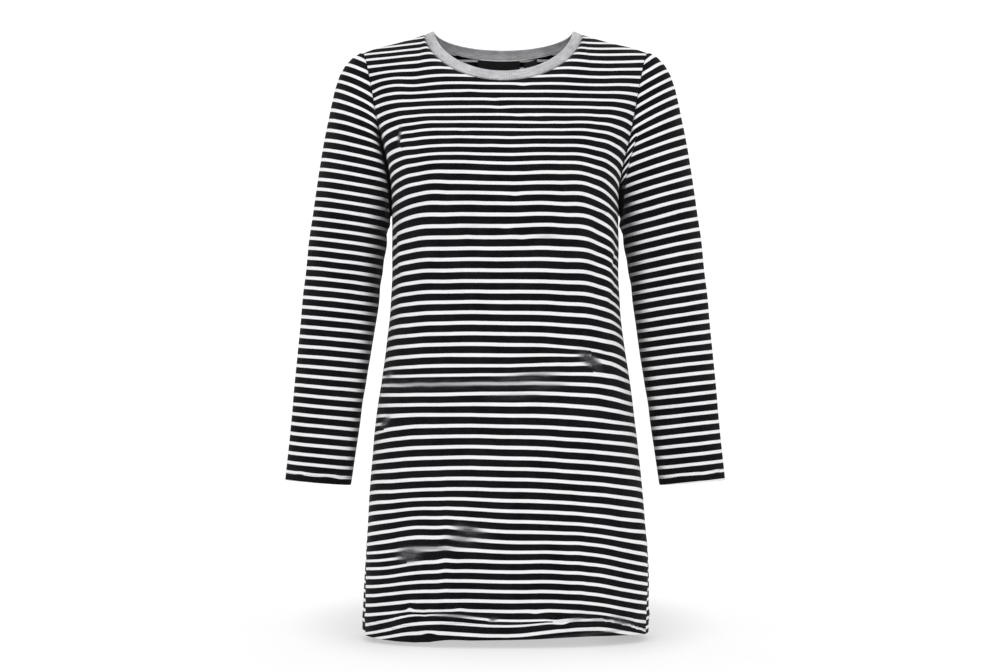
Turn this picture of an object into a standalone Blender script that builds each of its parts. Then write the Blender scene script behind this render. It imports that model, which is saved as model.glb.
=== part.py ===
"""Long-sleeved jersey dress, filled out as when worn and hollow inside.

Every piece that is cut and sewn is its own closed wall of cloth: front, back, two sleeves, neck band,
woven label and size tab. Units are metres, +Z is up and the front faces -Y, so the wearer's left is +X.
The origin is the point between the shoulders where the wearer holds the dress: halfway between the two
high points of the shoulders, in the plane of the shoulder seams.
"""

import math
from typing import NamedTuple

import bmesh
import bpy
import numpy as np
from mathutils import Vector

# Cloth and seams
WALL = 0.0015               # single jersey with the air it holds
TURN_UP_WALL = 0.0026       # hem and cuffs, folded double
BAND_WALL = 0.0024          # rib, folded double
LABEL_WALL = 0.0010
SEAM_GAP = 0.0003           # between two pieces along a seam
LAY_GAP = 0.0007            # between a panel and what lies on it

# Heights, measured from the high points of the shoulders
HEM_HEIGHT = -0.857
HEM_TURN_UP = 0.025
UNDERARM_HEIGHT = -0.262
CHEST_HEIGHT = -0.150

# Neck opening at the neck seam
NECK_HALF_WIDTH = 0.1135
NECK_POINT_HEIGHT = -0.005
NECK_SHIFT = -0.0025        # the neckline sits a little to the wearer's right
FRONT_NECK_DEPTH = 0.072
FRONT_NECK_HEIGHT = -0.0764
BACK_NECK_DEPTH = 0.066
BACK_NECK_HEIGHT = -0.035
NECK_ROUND = 0.14           # how softly the neckline rounds over the shoulder, as a share of its depth
FRONT_NECK_LEAN = math.radians(38.0)    # how far from upright the cloth leans back as it meets the band
BACK_NECK_LEAN = math.radians(24.0)

# Neck opening at the top of the band
BAND_HALF_WIDTH = 0.0995
BAND_POINT_HEIGHT = 0.001
BAND_FRONT_DEPTH = 0.0665
BAND_FRONT_HEIGHT = -0.0622
BAND_BACK_DEPTH = 0.0625
BAND_BACK_HEIGHT = -0.0192
BAND_CROWN = 0.0012         # how far the middle of the band stands out of a straight line

# Armhole
ARMHOLE_HALF_DEPTH = 0.047
SHOULDER_POINT_WIDTH = 0.2035
ARMHOLE_FLARE = 0.2         # how far outward the seam heads as it comes up to the shoulder point

# Mesh
SIDE_COLUMNS = 16           # from a panel's centre line to its edge
NECK_COLUMNS = 9            # of these, the ones that end on the neckline; the rest end on a shoulder seam
NECK_SHARE = NECK_COLUMNS / SIDE_COLUMNS
SKIRT_ROWS = 19
ARMHOLE_LOW_ROWS = 6
ARMHOLE_HIGH_ROWS = 7
ROUND_HANDLE = 0.55         # handle of a cubic curve that draws a quarter of an ellipse
CHEST_STEP = 0.010          # rise over which the chest's slope is read
SEAM_ORDER = Vector((0.83, 0.31, 0.46))     # a slanted direction that puts any seam's points in order

# Label and size tab, inside the back neck
LABEL_WIDTH = 0.061
LABEL_DROP = 0.024
TAB_WIDTH = 0.019
TAB_DROP = 0.0125
TAB_LEAN = math.radians(5.0)
TAB_ACROSS = 0.0415         # from the centre line to the tab's middle, towards the wearer's left
LEAST_COLUMN = 0.002        # no column of a label is narrower


class BodySection(NamedTuple):
    """A level ring of the body, by its height."""

    height: float
    half_width: float       # to the side seam, or to the armhole seam above the underarm
    sway: float             # how far the ring's middle lies towards +X
    front: float            # depth of the centre front
    back: float             # depth of the centre back


BODY = (
    BodySection(-0.857, 0.2045, 0.0003, 0.1190, 0.1120),
    BodySection(-0.819, 0.2038, 0.0010, 0.1180, 0.1125),
    BodySection(-0.759, 0.2020, 0.0024, 0.1165, 0.1130),
    BodySection(-0.699, 0.1977, 0.0019, 0.1150, 0.1130),
    BodySection(-0.654, 0.1946, 0.0013, 0.1137, 0.1125),
    BodySection(-0.609, 0.1904, 0.0008, 0.1122, 0.1110),
    BodySection(-0.552, 0.1845, 0.0002, 0.1105, 0.1080),
    BodySection(-0.486, 0.1753, 0.0008, 0.1085, 0.1010),
    BodySection(-0.441, 0.1690, 0.0002, 0.1083, 0.0960),
    BodySection(-0.380, 0.1632, 0.0002, 0.1105, 0.0920),
    BodySection(-0.314, 0.1616, 0.0000, 0.1165, 0.0945),
    BodySection(-0.262, 0.1617, 0.0000, 0.1198, 0.0980),
    BodySection(-0.240, 0.1619, 0.0000, 0.1197, 0.0998),
    BodySection(-0.216, 0.1634, 0.0000, 0.1178, 0.1015),
    BodySection(-0.190, 0.1676, 0.0000, 0.1130, 0.1025),
    BodySection(-0.150, 0.1770, 0.0000, 0.1015, 0.1020),
    BodySection(-0.110, 0.1835, 0.0000, 0.0860, 0.0980),
)
SQUARENESS = 2.3            # 2 is an ellipse, more is boxier


class ShoulderPoint(NamedTuple):
    """A point of the shoulder seam."""

    across: float
    height: float


SHOULDER = (
    ShoulderPoint(NECK_HALF_WIDTH, NECK_POINT_HEIGHT),
    ShoulderPoint(0.1367, -0.0120),
    ShoulderPoint(0.1600, -0.0182),
    ShoulderPoint(0.1840, -0.0240),
    ShoulderPoint(SHOULDER_POINT_WIDTH, -0.0308),
)


class SleeveSection(NamedTuple):
    """A ring of the sleeve, by its two ends in the front view and its depth."""

    outer: float            # across, at the outside of the arm
    outer_height: float
    inner: float            # across, at the underarm seam
    inner_height: float
    middle: float           # how far forward (-Y) the ring's middle lies
    half_depth: float


SLEEVE = (
    SleeveSection(0.2035, -0.0308, 0.1617, -0.2620, 0.0000, 0.0470),
    SleeveSection(0.2125, -0.0338, 0.1638, -0.2625, 0.0000, 0.0484),
    SleeveSection(0.2235, -0.0430, 0.1652, -0.2638, 0.0000, 0.0492),
    SleeveSection(0.2330, -0.0565, 0.1661, -0.2658, 0.0001, 0.0495),
    SleeveSection(0.2400, -0.0730, 0.1666, -0.2684, 0.0003, 0.0492),
    SleeveSection(0.2460, -0.0950, 0.1669, -0.2715, 0.0006, 0.0486),
    SleeveSection(0.2520, -0.1240, 0.1671, -0.2753, 0.0010, 0.0476),
    SleeveSection(0.2585, -0.1560, 0.1674, -0.2802, 0.0015, 0.0464),
    SleeveSection(0.2640, -0.1890, 0.1679, -0.2870, 0.0020, 0.0450),
    SleeveSection(0.2693, -0.2240, 0.1690, -0.2980, 0.0026, 0.0437),
    SleeveSection(0.2745, -0.2620, 0.1718, -0.3170, 0.0034, 0.0425),
    SleeveSection(0.2797, -0.3040, 0.1767, -0.3460, 0.0044, 0.0412),
    SleeveSection(0.2845, -0.3450, 0.1815, -0.3780, 0.0056, 0.0398),
    SleeveSection(0.2888, -0.3860, 0.1860, -0.4130, 0.0070, 0.0382),
    SleeveSection(0.2928, -0.4270, 0.1903, -0.4490, 0.0084, 0.0362),
    SleeveSection(0.2968, -0.4680, 0.1957, -0.4860, 0.0098, 0.0338),
    SleeveSection(0.3008, -0.5090, 0.2015, -0.5240, 0.0112, 0.0310),
    SleeveSection(0.3047, -0.5500, 0.2070, -0.5620, 0.0126, 0.0280),
    SleeveSection(0.3082, -0.5900, 0.2125, -0.5990, 0.0140, 0.0250),
    SleeveSection(0.3112, -0.6200, 0.2166, -0.6275, 0.0150, 0.0225),
    SleeveSection(0.3132, -0.6400, 0.2195, -0.6470, 0.0156, 0.0205),
)
SLEEVE_SQUARENESS = 2.15
CAP_FADE = (1.0, 0.82, 0.62, 0.44, 0.28, 0.15, 0.06)   # how much of the armhole's own shape each ring keeps
CUFF_RINGS = 1              # rings up from the cuff's edge that its turn-up covers


class Fold(NamedTuple):
    """A soft ridge (or trough, with a negative rise) that runs down the body."""

    top_angle: float        # degrees round the body, 0 at centre front, 90 at the wearer's left side seam
    top: float              # height where it starts
    bottom_angle: float
    bottom: float           # height where it ends
    width: float            # degrees
    rise: float


BODY_FOLDS = (
    Fold(-20.0, -0.660, -23.0, -0.900, 7.0, 0.0042),
    Fold(22.0, -0.650, 26.0, -0.900, 7.5, 0.0046),
    Fold(-44.0, -0.600, -50.0, -0.910, 12.0, -0.0040),
    Fold(47.0, -0.580, 52.0, -0.910, 12.0, -0.0042),
    Fold(-72.0, -0.520, -70.0, -0.930, 9.0, 0.0026),
    Fold(72.0, -0.540, 70.0, -0.930, 9.0, 0.0030),
    Fold(66.0, -0.215, 60.0, -0.440, 7.5, 0.0034),
    Fold(52.0, -0.240, 49.0, -0.420, 8.0, -0.0026),
    Fold(-66.0, -0.260, -61.0, -0.420, 7.5, 0.0030),
    Fold(-53.0, -0.255, -50.0, -0.400, 8.0, -0.0022),
    Fold(128.0, -0.330, 132.0, -0.960, 11.0, 0.0052),
    Fold(151.0, -0.400, 153.0, -0.980, 10.0, -0.0056),
    Fold(172.0, -0.300, 170.0, -0.960, 10.0, 0.0060),
    Fold(193.0, -0.420, 196.0, -0.980, 10.0, -0.0054),
    Fold(216.0, -0.330, 214.0, -0.970, 11.0, 0.0052),
    Fold(114.0, -0.210, 120.0, -0.460, 8.0, 0.0034),
    Fold(246.0, -0.210, 240.0, -0.470, 8.0, 0.0034),
    Fold(152.0, -0.090, 138.0, -0.340, 9.0, -0.0032),
    Fold(208.0, -0.090, 222.0, -0.340, 9.0, -0.0032),
)


class SleeveFold(NamedTuple):
    """A soft trough or ridge across a sleeve, given by its middle on the opened-out sleeve."""

    turn: float             # share of the way round from the underarm seam, 0.25 at the front
    along: float            # share of the way from the armhole to the cuff
    reach: float            # share of the way round that it spans
    width: float            # share of the sleeve's length
    slant: float            # how far along it moves for each full turn
    rise: float


SLEEVE_FOLDS = (
    SleeveFold(0.12, 0.42, 0.16, 0.030, 0.35, -0.0028),
    SleeveFold(0.10, 0.55, 0.20, 0.028, 0.25, -0.0026),
    SleeveFold(0.30, 0.68, 0.20, 0.026, -0.20, 0.0018),
    SleeveFold(0.88, 0.46, 0.18, 0.030, -0.35, -0.0030),
    SleeveFold(0.90, 0.60, 0.18, 0.028, -0.25, -0.0028),
    SleeveFold(0.62, 0.57, 0.16, 0.030, 0.20, 0.0020),
    SleeveFold(0.20, 0.84, 0.24, 0.024, 0.15, -0.0018),
    SleeveFold(0.72, 0.80, 0.22, 0.024, -0.18, -0.0018),
)


class HemPoint(NamedTuple):
    """How far the hem hangs below its level, by the angle round the body."""

    angle: float
    drop: float


HEM_WAVE = (
    HemPoint(-90.0, 0.0005),
    HemPoint(-60.0, 0.0015),
    HemPoint(-38.0, 0.0040),
    HemPoint(-24.0, 0.0020),
    HemPoint(-10.0, 0.0000),
    HemPoint(20.0, 0.0005),
    HemPoint(45.0, -0.0015),
    HemPoint(70.0, 0.0010),
    HemPoint(90.0, 0.0000),
    HemPoint(130.0, 0.0020),
    HemPoint(165.0, -0.0015),
    HemPoint(200.0, 0.0020),
    HemPoint(235.0, -0.0010),
    HemPoint(270.0, 0.0005),
)
HEM_WAVE_REACH = 0.080      # the wave dies out this far above the hem
HEM_SHARES = (0.0, 0.5, 1.0, 1.45)      # rows over the turn-up, as shares of its height
HEM_PUFF = 0.0016           # how far the stiff top of the turn-up stands out
HEM_PUFF_WAVES = 9          # how many times that swells and fades round the hem
FOLD_SOFTNESS = 1.3         # how slowly a fold rises from its start and dies at its end
FOLD_FREE_EDGE = 0.70       # folds fade from this share of a panel's half width to an armhole


# ---------------------------------------------------------------- curves

def smooth(places, values, wanted):
    """Read a smooth curve through a table's points at the wanted places."""
    places = np.asarray(places, dtype=float)
    values = np.asarray(values, dtype=float)
    order = np.argsort(places)
    places = places[order]
    values = values[order]
    slopes = np.gradient(values, places)
    wanted = np.clip(wanted, places[0], places[-1])
    cell = np.clip(np.searchsorted(places, wanted) - 1, 0, len(places) - 2)
    span = places[cell + 1] - places[cell]
    share = (wanted - places[cell]) / span
    low = values[cell] + share * span * slopes[cell]
    high = values[cell + 1] - (1.0 - share) * span * slopes[cell + 1]
    blend = share * share * (3.0 - 2.0 * share)
    return low + (high - low) * blend


def column(table, name):
    """Return one named column of a table."""
    return [getattr(row, name) for row in table]


def body_at(name, height):
    """Read one measure of the body at a height."""
    return float(smooth(column(BODY, "height"), column(BODY, name), height))


def step(low, high, value):
    """Go softly from 0 at low to 1 at high."""
    share = np.clip((value - low) / (high - low), 0.0, 1.0)
    return share * share * (3.0 - 2.0 * share)


def bezier(start, leave, arrive, end, share):
    """Return a point of a cubic curve from its four control points."""
    rest = 1.0 - share
    return (rest ** 3 * start + 3.0 * rest ** 2 * share * leave
            + 3.0 * rest * share ** 2 * arrive + share ** 3 * end)


# ---------------------------------------------------------------- body

def level_row(height, depth, edge_depth, side, shares):
    """Return a level row of a panel, from the wearer's right edge to the left edge.

    depth is that of the centre, edge_depth that of the edges: 0 at the side seams, more at an armhole,
    where the row is cut out of a wider ring. side is -1 for the front and 1 for the back.
    """
    half_width = body_at("half_width", height)
    cut = (1.0 - (edge_depth / depth) ** SQUARENESS) ** (1.0 / SQUARENESS)
    ring = half_width / cut
    reach = math.asin(min(1.0, cut ** (SQUARENESS / 2.0)))
    angles = np.abs(shares) * reach
    across = np.sign(shares) * ring * np.sin(angles) ** (2.0 / SQUARENESS)
    along = side * depth * np.maximum(np.cos(angles), 0.0) ** (2.0 / SQUARENESS)
    sway = body_at("sway", height)
    return np.stack([across + sway, along, np.full_like(across, height)], axis=1)


def neck_fall(turn):
    """Return the share of its drop that a neckline has reached, turn radians before the shoulder seam.

    turn is 0 at the centre and a right angle at the shoulder, where the line rounds over level.
    """
    return (math.hypot(math.cos(turn), NECK_ROUND) - NECK_ROUND) / (math.hypot(1.0, NECK_ROUND) - NECK_ROUND)


def top_row(side, shares):
    """Return a panel's top edge: a shoulder seam, the neckline, the other shoulder seam."""
    depth = FRONT_NECK_DEPTH if side < 0 else BACK_NECK_DEPTH
    height = FRONT_NECK_HEIGHT if side < 0 else BACK_NECK_HEIGHT
    points = []
    for share in shares:
        sign = math.copysign(1.0, share)
        if abs(share) <= NECK_SHARE:
            turn = math.radians(90.0) * abs(share) / NECK_SHARE
            across = sign * NECK_HALF_WIDTH * math.sin(turn) + NECK_SHIFT
            fall = (height - NECK_POINT_HEIGHT) * neck_fall(turn)
            points.append((across, side * depth * math.cos(turn), NECK_POINT_HEIGHT + fall))
        else:
            out = (abs(share) - NECK_SHARE) / (1.0 - NECK_SHARE)
            across = NECK_HALF_WIDTH + (SHOULDER_POINT_WIDTH - NECK_HALF_WIDTH) * out
            rise = float(smooth(column(SHOULDER, "across"), column(SHOULDER, "height"), across))
            points.append((sign * across + NECK_SHIFT * (1.0 - out), 0.0, rise))
    return np.array(points)


def arrival(side, shares):
    """Return the direction in which each column of a panel reaches the top edge."""
    lean = step(0.0, NECK_SHARE, np.abs(shares)) * 0.5 * math.pi
    start = FRONT_NECK_LEAN if side < 0 else BACK_NECK_LEAN
    lean = start + (0.5 * math.pi - start) * np.sin(lean) ** 2
    out = ARMHOLE_FLARE * np.sign(shares) * np.abs(shares) ** 8
    return np.stack([out, -side * np.sin(lean), np.cos(lean)], axis=1)


def panel_grid(side):
    """Return the points of the front (side -1) or back (side 1), rows from the hem up."""
    shares = np.linspace(-1.0, 1.0, 2 * SIDE_COLUMNS + 1)
    name = "front" if side < 0 else "back"
    rows = []
    for height in skirt_heights():
        rows.append(level_row(height, body_at(name, height), 0.0, side, shares))
    for index in range(1, ARMHOLE_LOW_ROWS + 1):
        turn = 0.5 * math.pi * index / ARMHOLE_LOW_ROWS
        height = CHEST_HEIGHT - (CHEST_HEIGHT - UNDERARM_HEIGHT) * math.cos(turn)
        depth = body_at(name, height)
        rows.append(level_row(height, depth, ARMHOLE_HALF_DEPTH * math.sin(turn), side, shares))
    chest = rows[-1]
    just_above = CHEST_HEIGHT + CHEST_STEP
    above = level_row(just_above, body_at(name, just_above), ARMHOLE_HALF_DEPTH, side, shares)
    leave = (above - chest) / CHEST_STEP
    top = top_row(side, shares)
    rise = (top - chest)[:, 2:3]
    back_off = np.abs(top - chest)[:, 1:2]
    arrive = arrival(side, shares)
    start_handle = chest + ROUND_HANDLE * rise * leave
    end_handle = top - ROUND_HANDLE * back_off / np.abs(arrive[:, 1:2]) * arrive
    for index in range(1, ARMHOLE_HIGH_ROWS + 1):
        rows.append(bezier(chest, start_handle, end_handle, top, index / ARMHOLE_HIGH_ROWS))
    return np.array(rows)


def skirt_heights():
    """Return the heights of the rows below the underarm, closer together over the hem's turn-up."""
    heights = [HEM_HEIGHT + share * HEM_TURN_UP for share in HEM_SHARES]
    start = heights[-1]
    free = SKIRT_ROWS + 1 - len(heights)
    heights += [start + (UNDERARM_HEIGHT - start) * index / free for index in range(1, free + 1)]
    return heights


def body_fold_map(grid, side):
    """Return how far each point of a panel is pushed out by the folds."""
    rows, columns = grid.shape[:2]
    shares = np.linspace(-1.0, 1.0, columns)
    angles = shares * 90.0 if side < 0 else 180.0 - shares * 90.0
    angles = np.broadcast_to(angles, (rows, columns))
    heights = grid[:, :, 2]
    push = np.zeros((rows, columns))
    for fold in BODY_FOLDS:
        down = np.clip((fold.top - heights) / (fold.top - fold.bottom), 0.0, 1.0)
        middle = fold.top_angle + (fold.bottom_angle - fold.top_angle) * down
        away = (angles - middle + 180.0) % 360.0 - 180.0
        swell = np.sin(math.pi * down) ** FOLD_SOFTNESS
        push += fold.rise * np.exp(-(away / fold.width) ** 2) * swell
    at_armhole = step(UNDERARM_HEIGHT - 0.070, UNDERARM_HEIGHT - 0.010, heights)
    near_edge = step(FOLD_FREE_EDGE, 1.0, np.abs(np.broadcast_to(shares, (rows, columns))))
    push *= 1.0 - at_armhole * near_edge
    push[HEM_SHARES.index(1.0)] += HEM_PUFF * (0.6 + 0.4 * np.sin(np.radians(angles[0] * HEM_PUFF_WAVES)))
    first_free = rows - 1 - ARMHOLE_HIGH_ROWS
    seam_fade = 1.0 - step(first_free, rows - 2, np.arange(rows))
    return push * seam_fade[:, None]


def wave_hem(grid, side):
    """Let the hem hang a little unevenly."""
    shares = np.linspace(-1.0, 1.0, grid.shape[1])
    angles = shares * 90.0 if side < 0 else 180.0 - shares * 90.0
    drop = smooth(column(HEM_WAVE, "angle"), column(HEM_WAVE, "drop"), angles)
    fade = 1.0 - step(HEM_HEIGHT, HEM_HEIGHT + HEM_WAVE_REACH, grid[:, :, 2])
    grid[:, :, 2] -= fade * drop[None, :]


# ---------------------------------------------------------------- sleeves and band

def sleeve_ring(section, count):
    """Return a plain ring of the sleeve, from the underarm seam round by the front."""
    turns = np.arange(count) * 2.0 * math.pi / count
    power = 2.0 / SLEEVE_SQUARENESS
    along = np.sign(np.cos(turns)) * np.abs(np.cos(turns)) ** power
    forward = np.sign(np.sin(turns)) * np.abs(np.sin(turns)) ** power
    middle_across = 0.5 * (section.inner + section.outer)
    middle_height = 0.5 * (section.inner_height + section.outer_height)
    across = middle_across + 0.5 * (section.inner - section.outer) * along
    height = middle_height + 0.5 * (section.inner_height - section.outer_height) * along
    return np.stack([across, -section.middle - section.half_depth * forward, height], axis=1)


def armhole_ring(front, back):
    """Return the armhole seam on the wearer's left, from the underarm up the front and down the back."""
    first = SKIRT_ROWS
    up = front[first:, -1]
    down = back[first:, -1][::-1]
    return np.concatenate([up, down[1:-1]])


def sleeve_grid(front, back):
    """Return the points of the wearer's left sleeve, rings from the armhole to the cuff."""
    seam = armhole_ring(front, back)
    own_shape = seam - sleeve_ring(SLEEVE[0], len(seam))
    rings = []
    for index, section in enumerate(SLEEVE):
        ring = sleeve_ring(section, len(seam))
        if index < len(CAP_FADE):
            ring = ring + CAP_FADE[index] * own_shape
        rings.append(ring)
    return np.array(rings)


def sleeve_fold_map(grid):
    """Return how far each point of the sleeve is pushed out by the folds."""
    rings, count = grid.shape[:2]
    turn = np.broadcast_to(np.arange(count) / count, (rings, count))
    along = np.broadcast_to((np.arange(rings) / (rings - 1))[:, None], (rings, count))
    push = np.zeros((rings, count))
    for fold in SLEEVE_FOLDS:
        round_off = (turn - fold.turn + 0.5) % 1.0 - 0.5
        along_off = along - fold.along - fold.slant * round_off
        push += fold.rise * np.exp(-(round_off / fold.reach) ** 2 - (along_off / fold.width) ** 2)
    return push * step(0.05, 0.30, along)


def neck_ring(half_width, point_height, depths, heights):
    """Return a ring round the neck: the front from the wearer's right to left, then back behind it."""
    turns = [0.5 * math.pi * index / NECK_COLUMNS for index in range(-NECK_COLUMNS, NECK_COLUMNS + 1)]
    points = []
    for side, depth, height in zip((-1.0, 1.0), depths, heights):
        half = [(half_width * math.sin(turn) + NECK_SHIFT, side * depth * math.cos(turn),
                 point_height + (height - point_height) * neck_fall(turn)) for turn in turns]
        points += half[:-1] if side < 0 else half[:0:-1]
    return np.array(points)


def band_grid(front, back):
    """Return the points of the neck band, rings from the neck seam to its folded top edge."""
    first, last = SIDE_COLUMNS - NECK_COLUMNS, SIDE_COLUMNS + NECK_COLUMNS
    seam = np.concatenate([front[-1, first:last], back[-1, last:first:-1]])
    top = neck_ring(BAND_HALF_WIDTH, BAND_POINT_HEIGHT, (BAND_FRONT_DEPTH, BAND_BACK_DEPTH),
                    (BAND_FRONT_HEIGHT, BAND_BACK_HEIGHT))
    centre = np.array([NECK_SHIFT, 0.0, seam[:, 2].mean()])
    rings = []
    for share in (0.0, 0.33, 0.67, 1.0):
        ring = seam + (top - seam) * share
        outward = (ring - centre) * np.array([1.0, 1.0, 0.0])
        outward /= np.linalg.norm(outward, axis=1)[:, None]
        rings.append(ring + outward * BAND_CROWN * math.sin(math.pi * share))
    return np.array(rings)


# ---------------------------------------------------------------- walls

def grid_faces(rows, columns, closed):
    """Return the quads of a grid, each as four (row, column) pairs."""
    faces = []
    for row in range(rows - 1):
        for col in range(columns if closed else columns - 1):
            beside = (col + 1) % columns
            faces.append(((row, col), (row, beside), (row + 1, beside), (row + 1, col)))
    return faces


def seam_key(point):
    """Return a key that is the same for points that two pieces share."""
    return tuple(np.round(point * 1.0e6).astype(int))


def shared_normals(pieces):
    """Give every piece its outward directions, the same on both sides of a seam.

    Panels of the body count as one surface. Where it meets a sleeve or the band, each surface has an
    equal say, so that the two walls meet in a mitre.
    """
    surfaces = {}
    for grid, surface, flip in pieces:
        totals = surfaces.setdefault(surface, {})
        for face in grid_faces(*grid.shape[:2], surface != "body"):
            corners = [grid[corner] for corner in face]
            normal = np.cross(corners[2] - corners[0], corners[3] - corners[1]) * flip
            for corner in corners:
                key = seam_key(corner)
                totals[key] = totals.get(key, np.zeros(3)) + normal
    shared = {}
    for totals in surfaces.values():
        for key, total in totals.items():
            shared[key] = shared.get(key, np.zeros(3)) + total / np.linalg.norm(total)
    normals = []
    for grid, _, _ in pieces:
        flat = np.array([shared[seam_key(point)] for point in grid.reshape(-1, 3)])
        flat /= np.linalg.norm(flat, axis=1)[:, None]
        normals.append(flat.reshape(grid.shape))
    return normals


def open_seams(grid, closed):
    """Draw a grid's edges back by half a seam gap, inside the cloth."""
    moved = grid.copy()
    edges = [(0, 1), (-1, -2)]
    for edge, inside in edges:
        away = grid[inside] - grid[edge]
        moved[edge] += away / np.linalg.norm(away, axis=1)[:, None] * 0.5 * SEAM_GAP
    if not closed:
        for edge, inside in edges:
            away = grid[:, inside] - grid[:, edge]
            moved[:, edge] += away / np.linalg.norm(away, axis=1)[:, None] * 0.5 * SEAM_GAP
    return moved


def split_quad(corners):
    """Cut a seam's quad along the diagonal that the piece across the seam cuts too."""
    start, end = corners[0].co, corners[1].co
    if (start - end).dot(SEAM_ORDER) <= 0.0:
        return corners[:3], [corners[0]] + corners[2:]
    return [corners[0], corners[1], corners[3]], corners[1:]


def wall_mesh(name, outer, inner, closed):
    """Make one closed mesh from the two faces of a wall."""
    rows, columns = outer.shape[:2]
    bm = bmesh.new()
    skins = []
    for grid in (outer, inner):
        skins.append([[bm.verts.new(point) for point in row] for row in grid])
    for face in grid_faces(rows, columns, closed):
        for skin in skins:
            bm.faces.new([skin[row][col] for row, col in face])
    edge = [(0, col) for col in range(columns)]
    far = [(rows - 1, col) for col in range(columns)]
    if closed:
        borders = [edge + edge[:1], far + far[:1]]
    else:
        right = [(row, columns - 1) for row in range(1, rows)]
        left = [(row, 0) for row in range(rows - 2, -1, -1)]
        borders = [edge + right + far[-2::-1] + left]
    for border in borders:
        for here, there in zip(border, border[1:]):
            corners = [skins[0][here[0]][here[1]], skins[0][there[0]][there[1]],
                       skins[1][there[0]][there[1]], skins[1][here[0]][here[1]]]
            for triangle in split_quad(corners):
                bm.faces.new(triangle)
    bmesh.ops.recalc_face_normals(bm, faces=bm.faces)
    mesh = bpy.data.meshes.new(name)
    bm.to_mesh(mesh)
    bm.free()
    mesh.shade_smooth()
    mesh.set_sharp_from_angle(angle=math.radians(50.0))
    return mesh


def cloth(name, grid, normals, thickness, closed, material, collection):
    """Add one piece of cloth: a wall of the given thickness, inside the given surface."""
    outer = open_seams(grid, closed)
    inner = outer - normals * thickness[:, None, None]
    mesh = wall_mesh(name, outer, inner, closed)
    mesh.materials.append(material)
    piece = bpy.data.objects.new(name, mesh)
    collection.objects.link(piece)
    return piece


def cloth_material(name, color, roughness):
    """Return a plain matt cloth."""
    material = bpy.data.materials.new(name)
    material.use_nodes = True
    shader = material.node_tree.nodes["Principled BSDF"]
    shader.inputs["Base Color"].default_value = (*color, 1.0)
    shader.inputs["Roughness"].default_value = roughness
    shader.inputs["Metallic"].default_value = 0.0
    material.diffuse_color = (*color, 1.0)
    return material


# ---------------------------------------------------------------- pieces

def thickness_rows(count, folded, first):
    """Return the wall's thickness by row, thicker where the edge is folded double."""
    rows = np.full(count, WALL)
    edge = slice(0, folded + 1) if first else slice(count - 1 - folded, count)
    rows[edge] = TURN_UP_WALL
    return rows


def surfaces_of(front, back, sleeve, band):
    """List the grids with the surface each belongs to and the sign that turns its faces outward."""
    return [(front, "body", 1.0), (back, "body", -1.0), (sleeve, "sleeve", -1.0), (band, "band", 1.0)]


def hang_inside(panel, panel_normals, places, drops):
    """Return a small grid on a panel's inner face, just below the neck seam, and its directions.

    places are distances across, and drops[place][row] the distances below the seam along the cloth.
    """
    face = panel - panel_normals * WALL
    rows = []
    directions = []
    for place, column_drops in zip(places, drops):
        col = float(np.interp(place, face[-1, :, 0], np.arange(face.shape[1])))
        low = int(col)
        line = face[:, low] + (face[:, low + 1] - face[:, low]) * (col - low)
        aim = panel_normals[:, low] + (panel_normals[:, low + 1] - panel_normals[:, low]) * (col - low)
        line, aim = line[::-1], aim[::-1]
        depth = np.concatenate([[0.0], np.cumsum(np.linalg.norm(np.diff(line, axis=0), axis=1))])
        rows.append([[np.interp(drop, depth, line[:, axis]) for axis in range(3)] for drop in column_drops])
        directions.append([[np.interp(drop, depth, aim[:, axis]) for axis in range(3)]
                           for drop in column_drops])
    grid = np.array(rows).transpose(1, 0, 2)[::-1]
    aims = np.array(directions).transpose(1, 0, 2)[::-1]
    aims /= np.linalg.norm(aims, axis=2)[:, :, None]
    return grid - aims * LAY_GAP, aims


def places_between(panel, start, end):
    """Return the start and end of a stretch across a panel's top, and the panel's columns between them."""
    columns = [across for across in panel[-1, :, 0] if start + LEAST_COLUMN < across < end - LEAST_COLUMN]
    return [start] + columns + [end]


def neck_label(back, normals):
    """Return the woven label's points: a strip that hangs from the back neck seam."""
    middle = NECK_SHIFT
    places = places_between(back, middle - 0.5 * LABEL_WIDTH, middle + 0.5 * LABEL_WIDTH)
    drops = [np.linspace(2.0 * SEAM_GAP, LABEL_DROP, 4)] * len(places)
    return hang_inside(back, normals, places, drops)


def size_tab(back, normals):
    """Return the size tab's points: a small folded ribbon beside the label, a little askew."""
    middle = NECK_SHIFT + TAB_ACROSS
    start, end = middle - 0.5 * TAB_WIDTH, middle + 0.5 * TAB_WIDTH
    places = places_between(back, start, end)
    drops = []
    for place in places:
        top = 2.0 * SEAM_GAP + (end - place) * math.tan(TAB_LEAN)
        drops.append(np.linspace(top, top + TAB_DROP, 3))
    return hang_inside(back, normals, places, drops)


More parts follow.
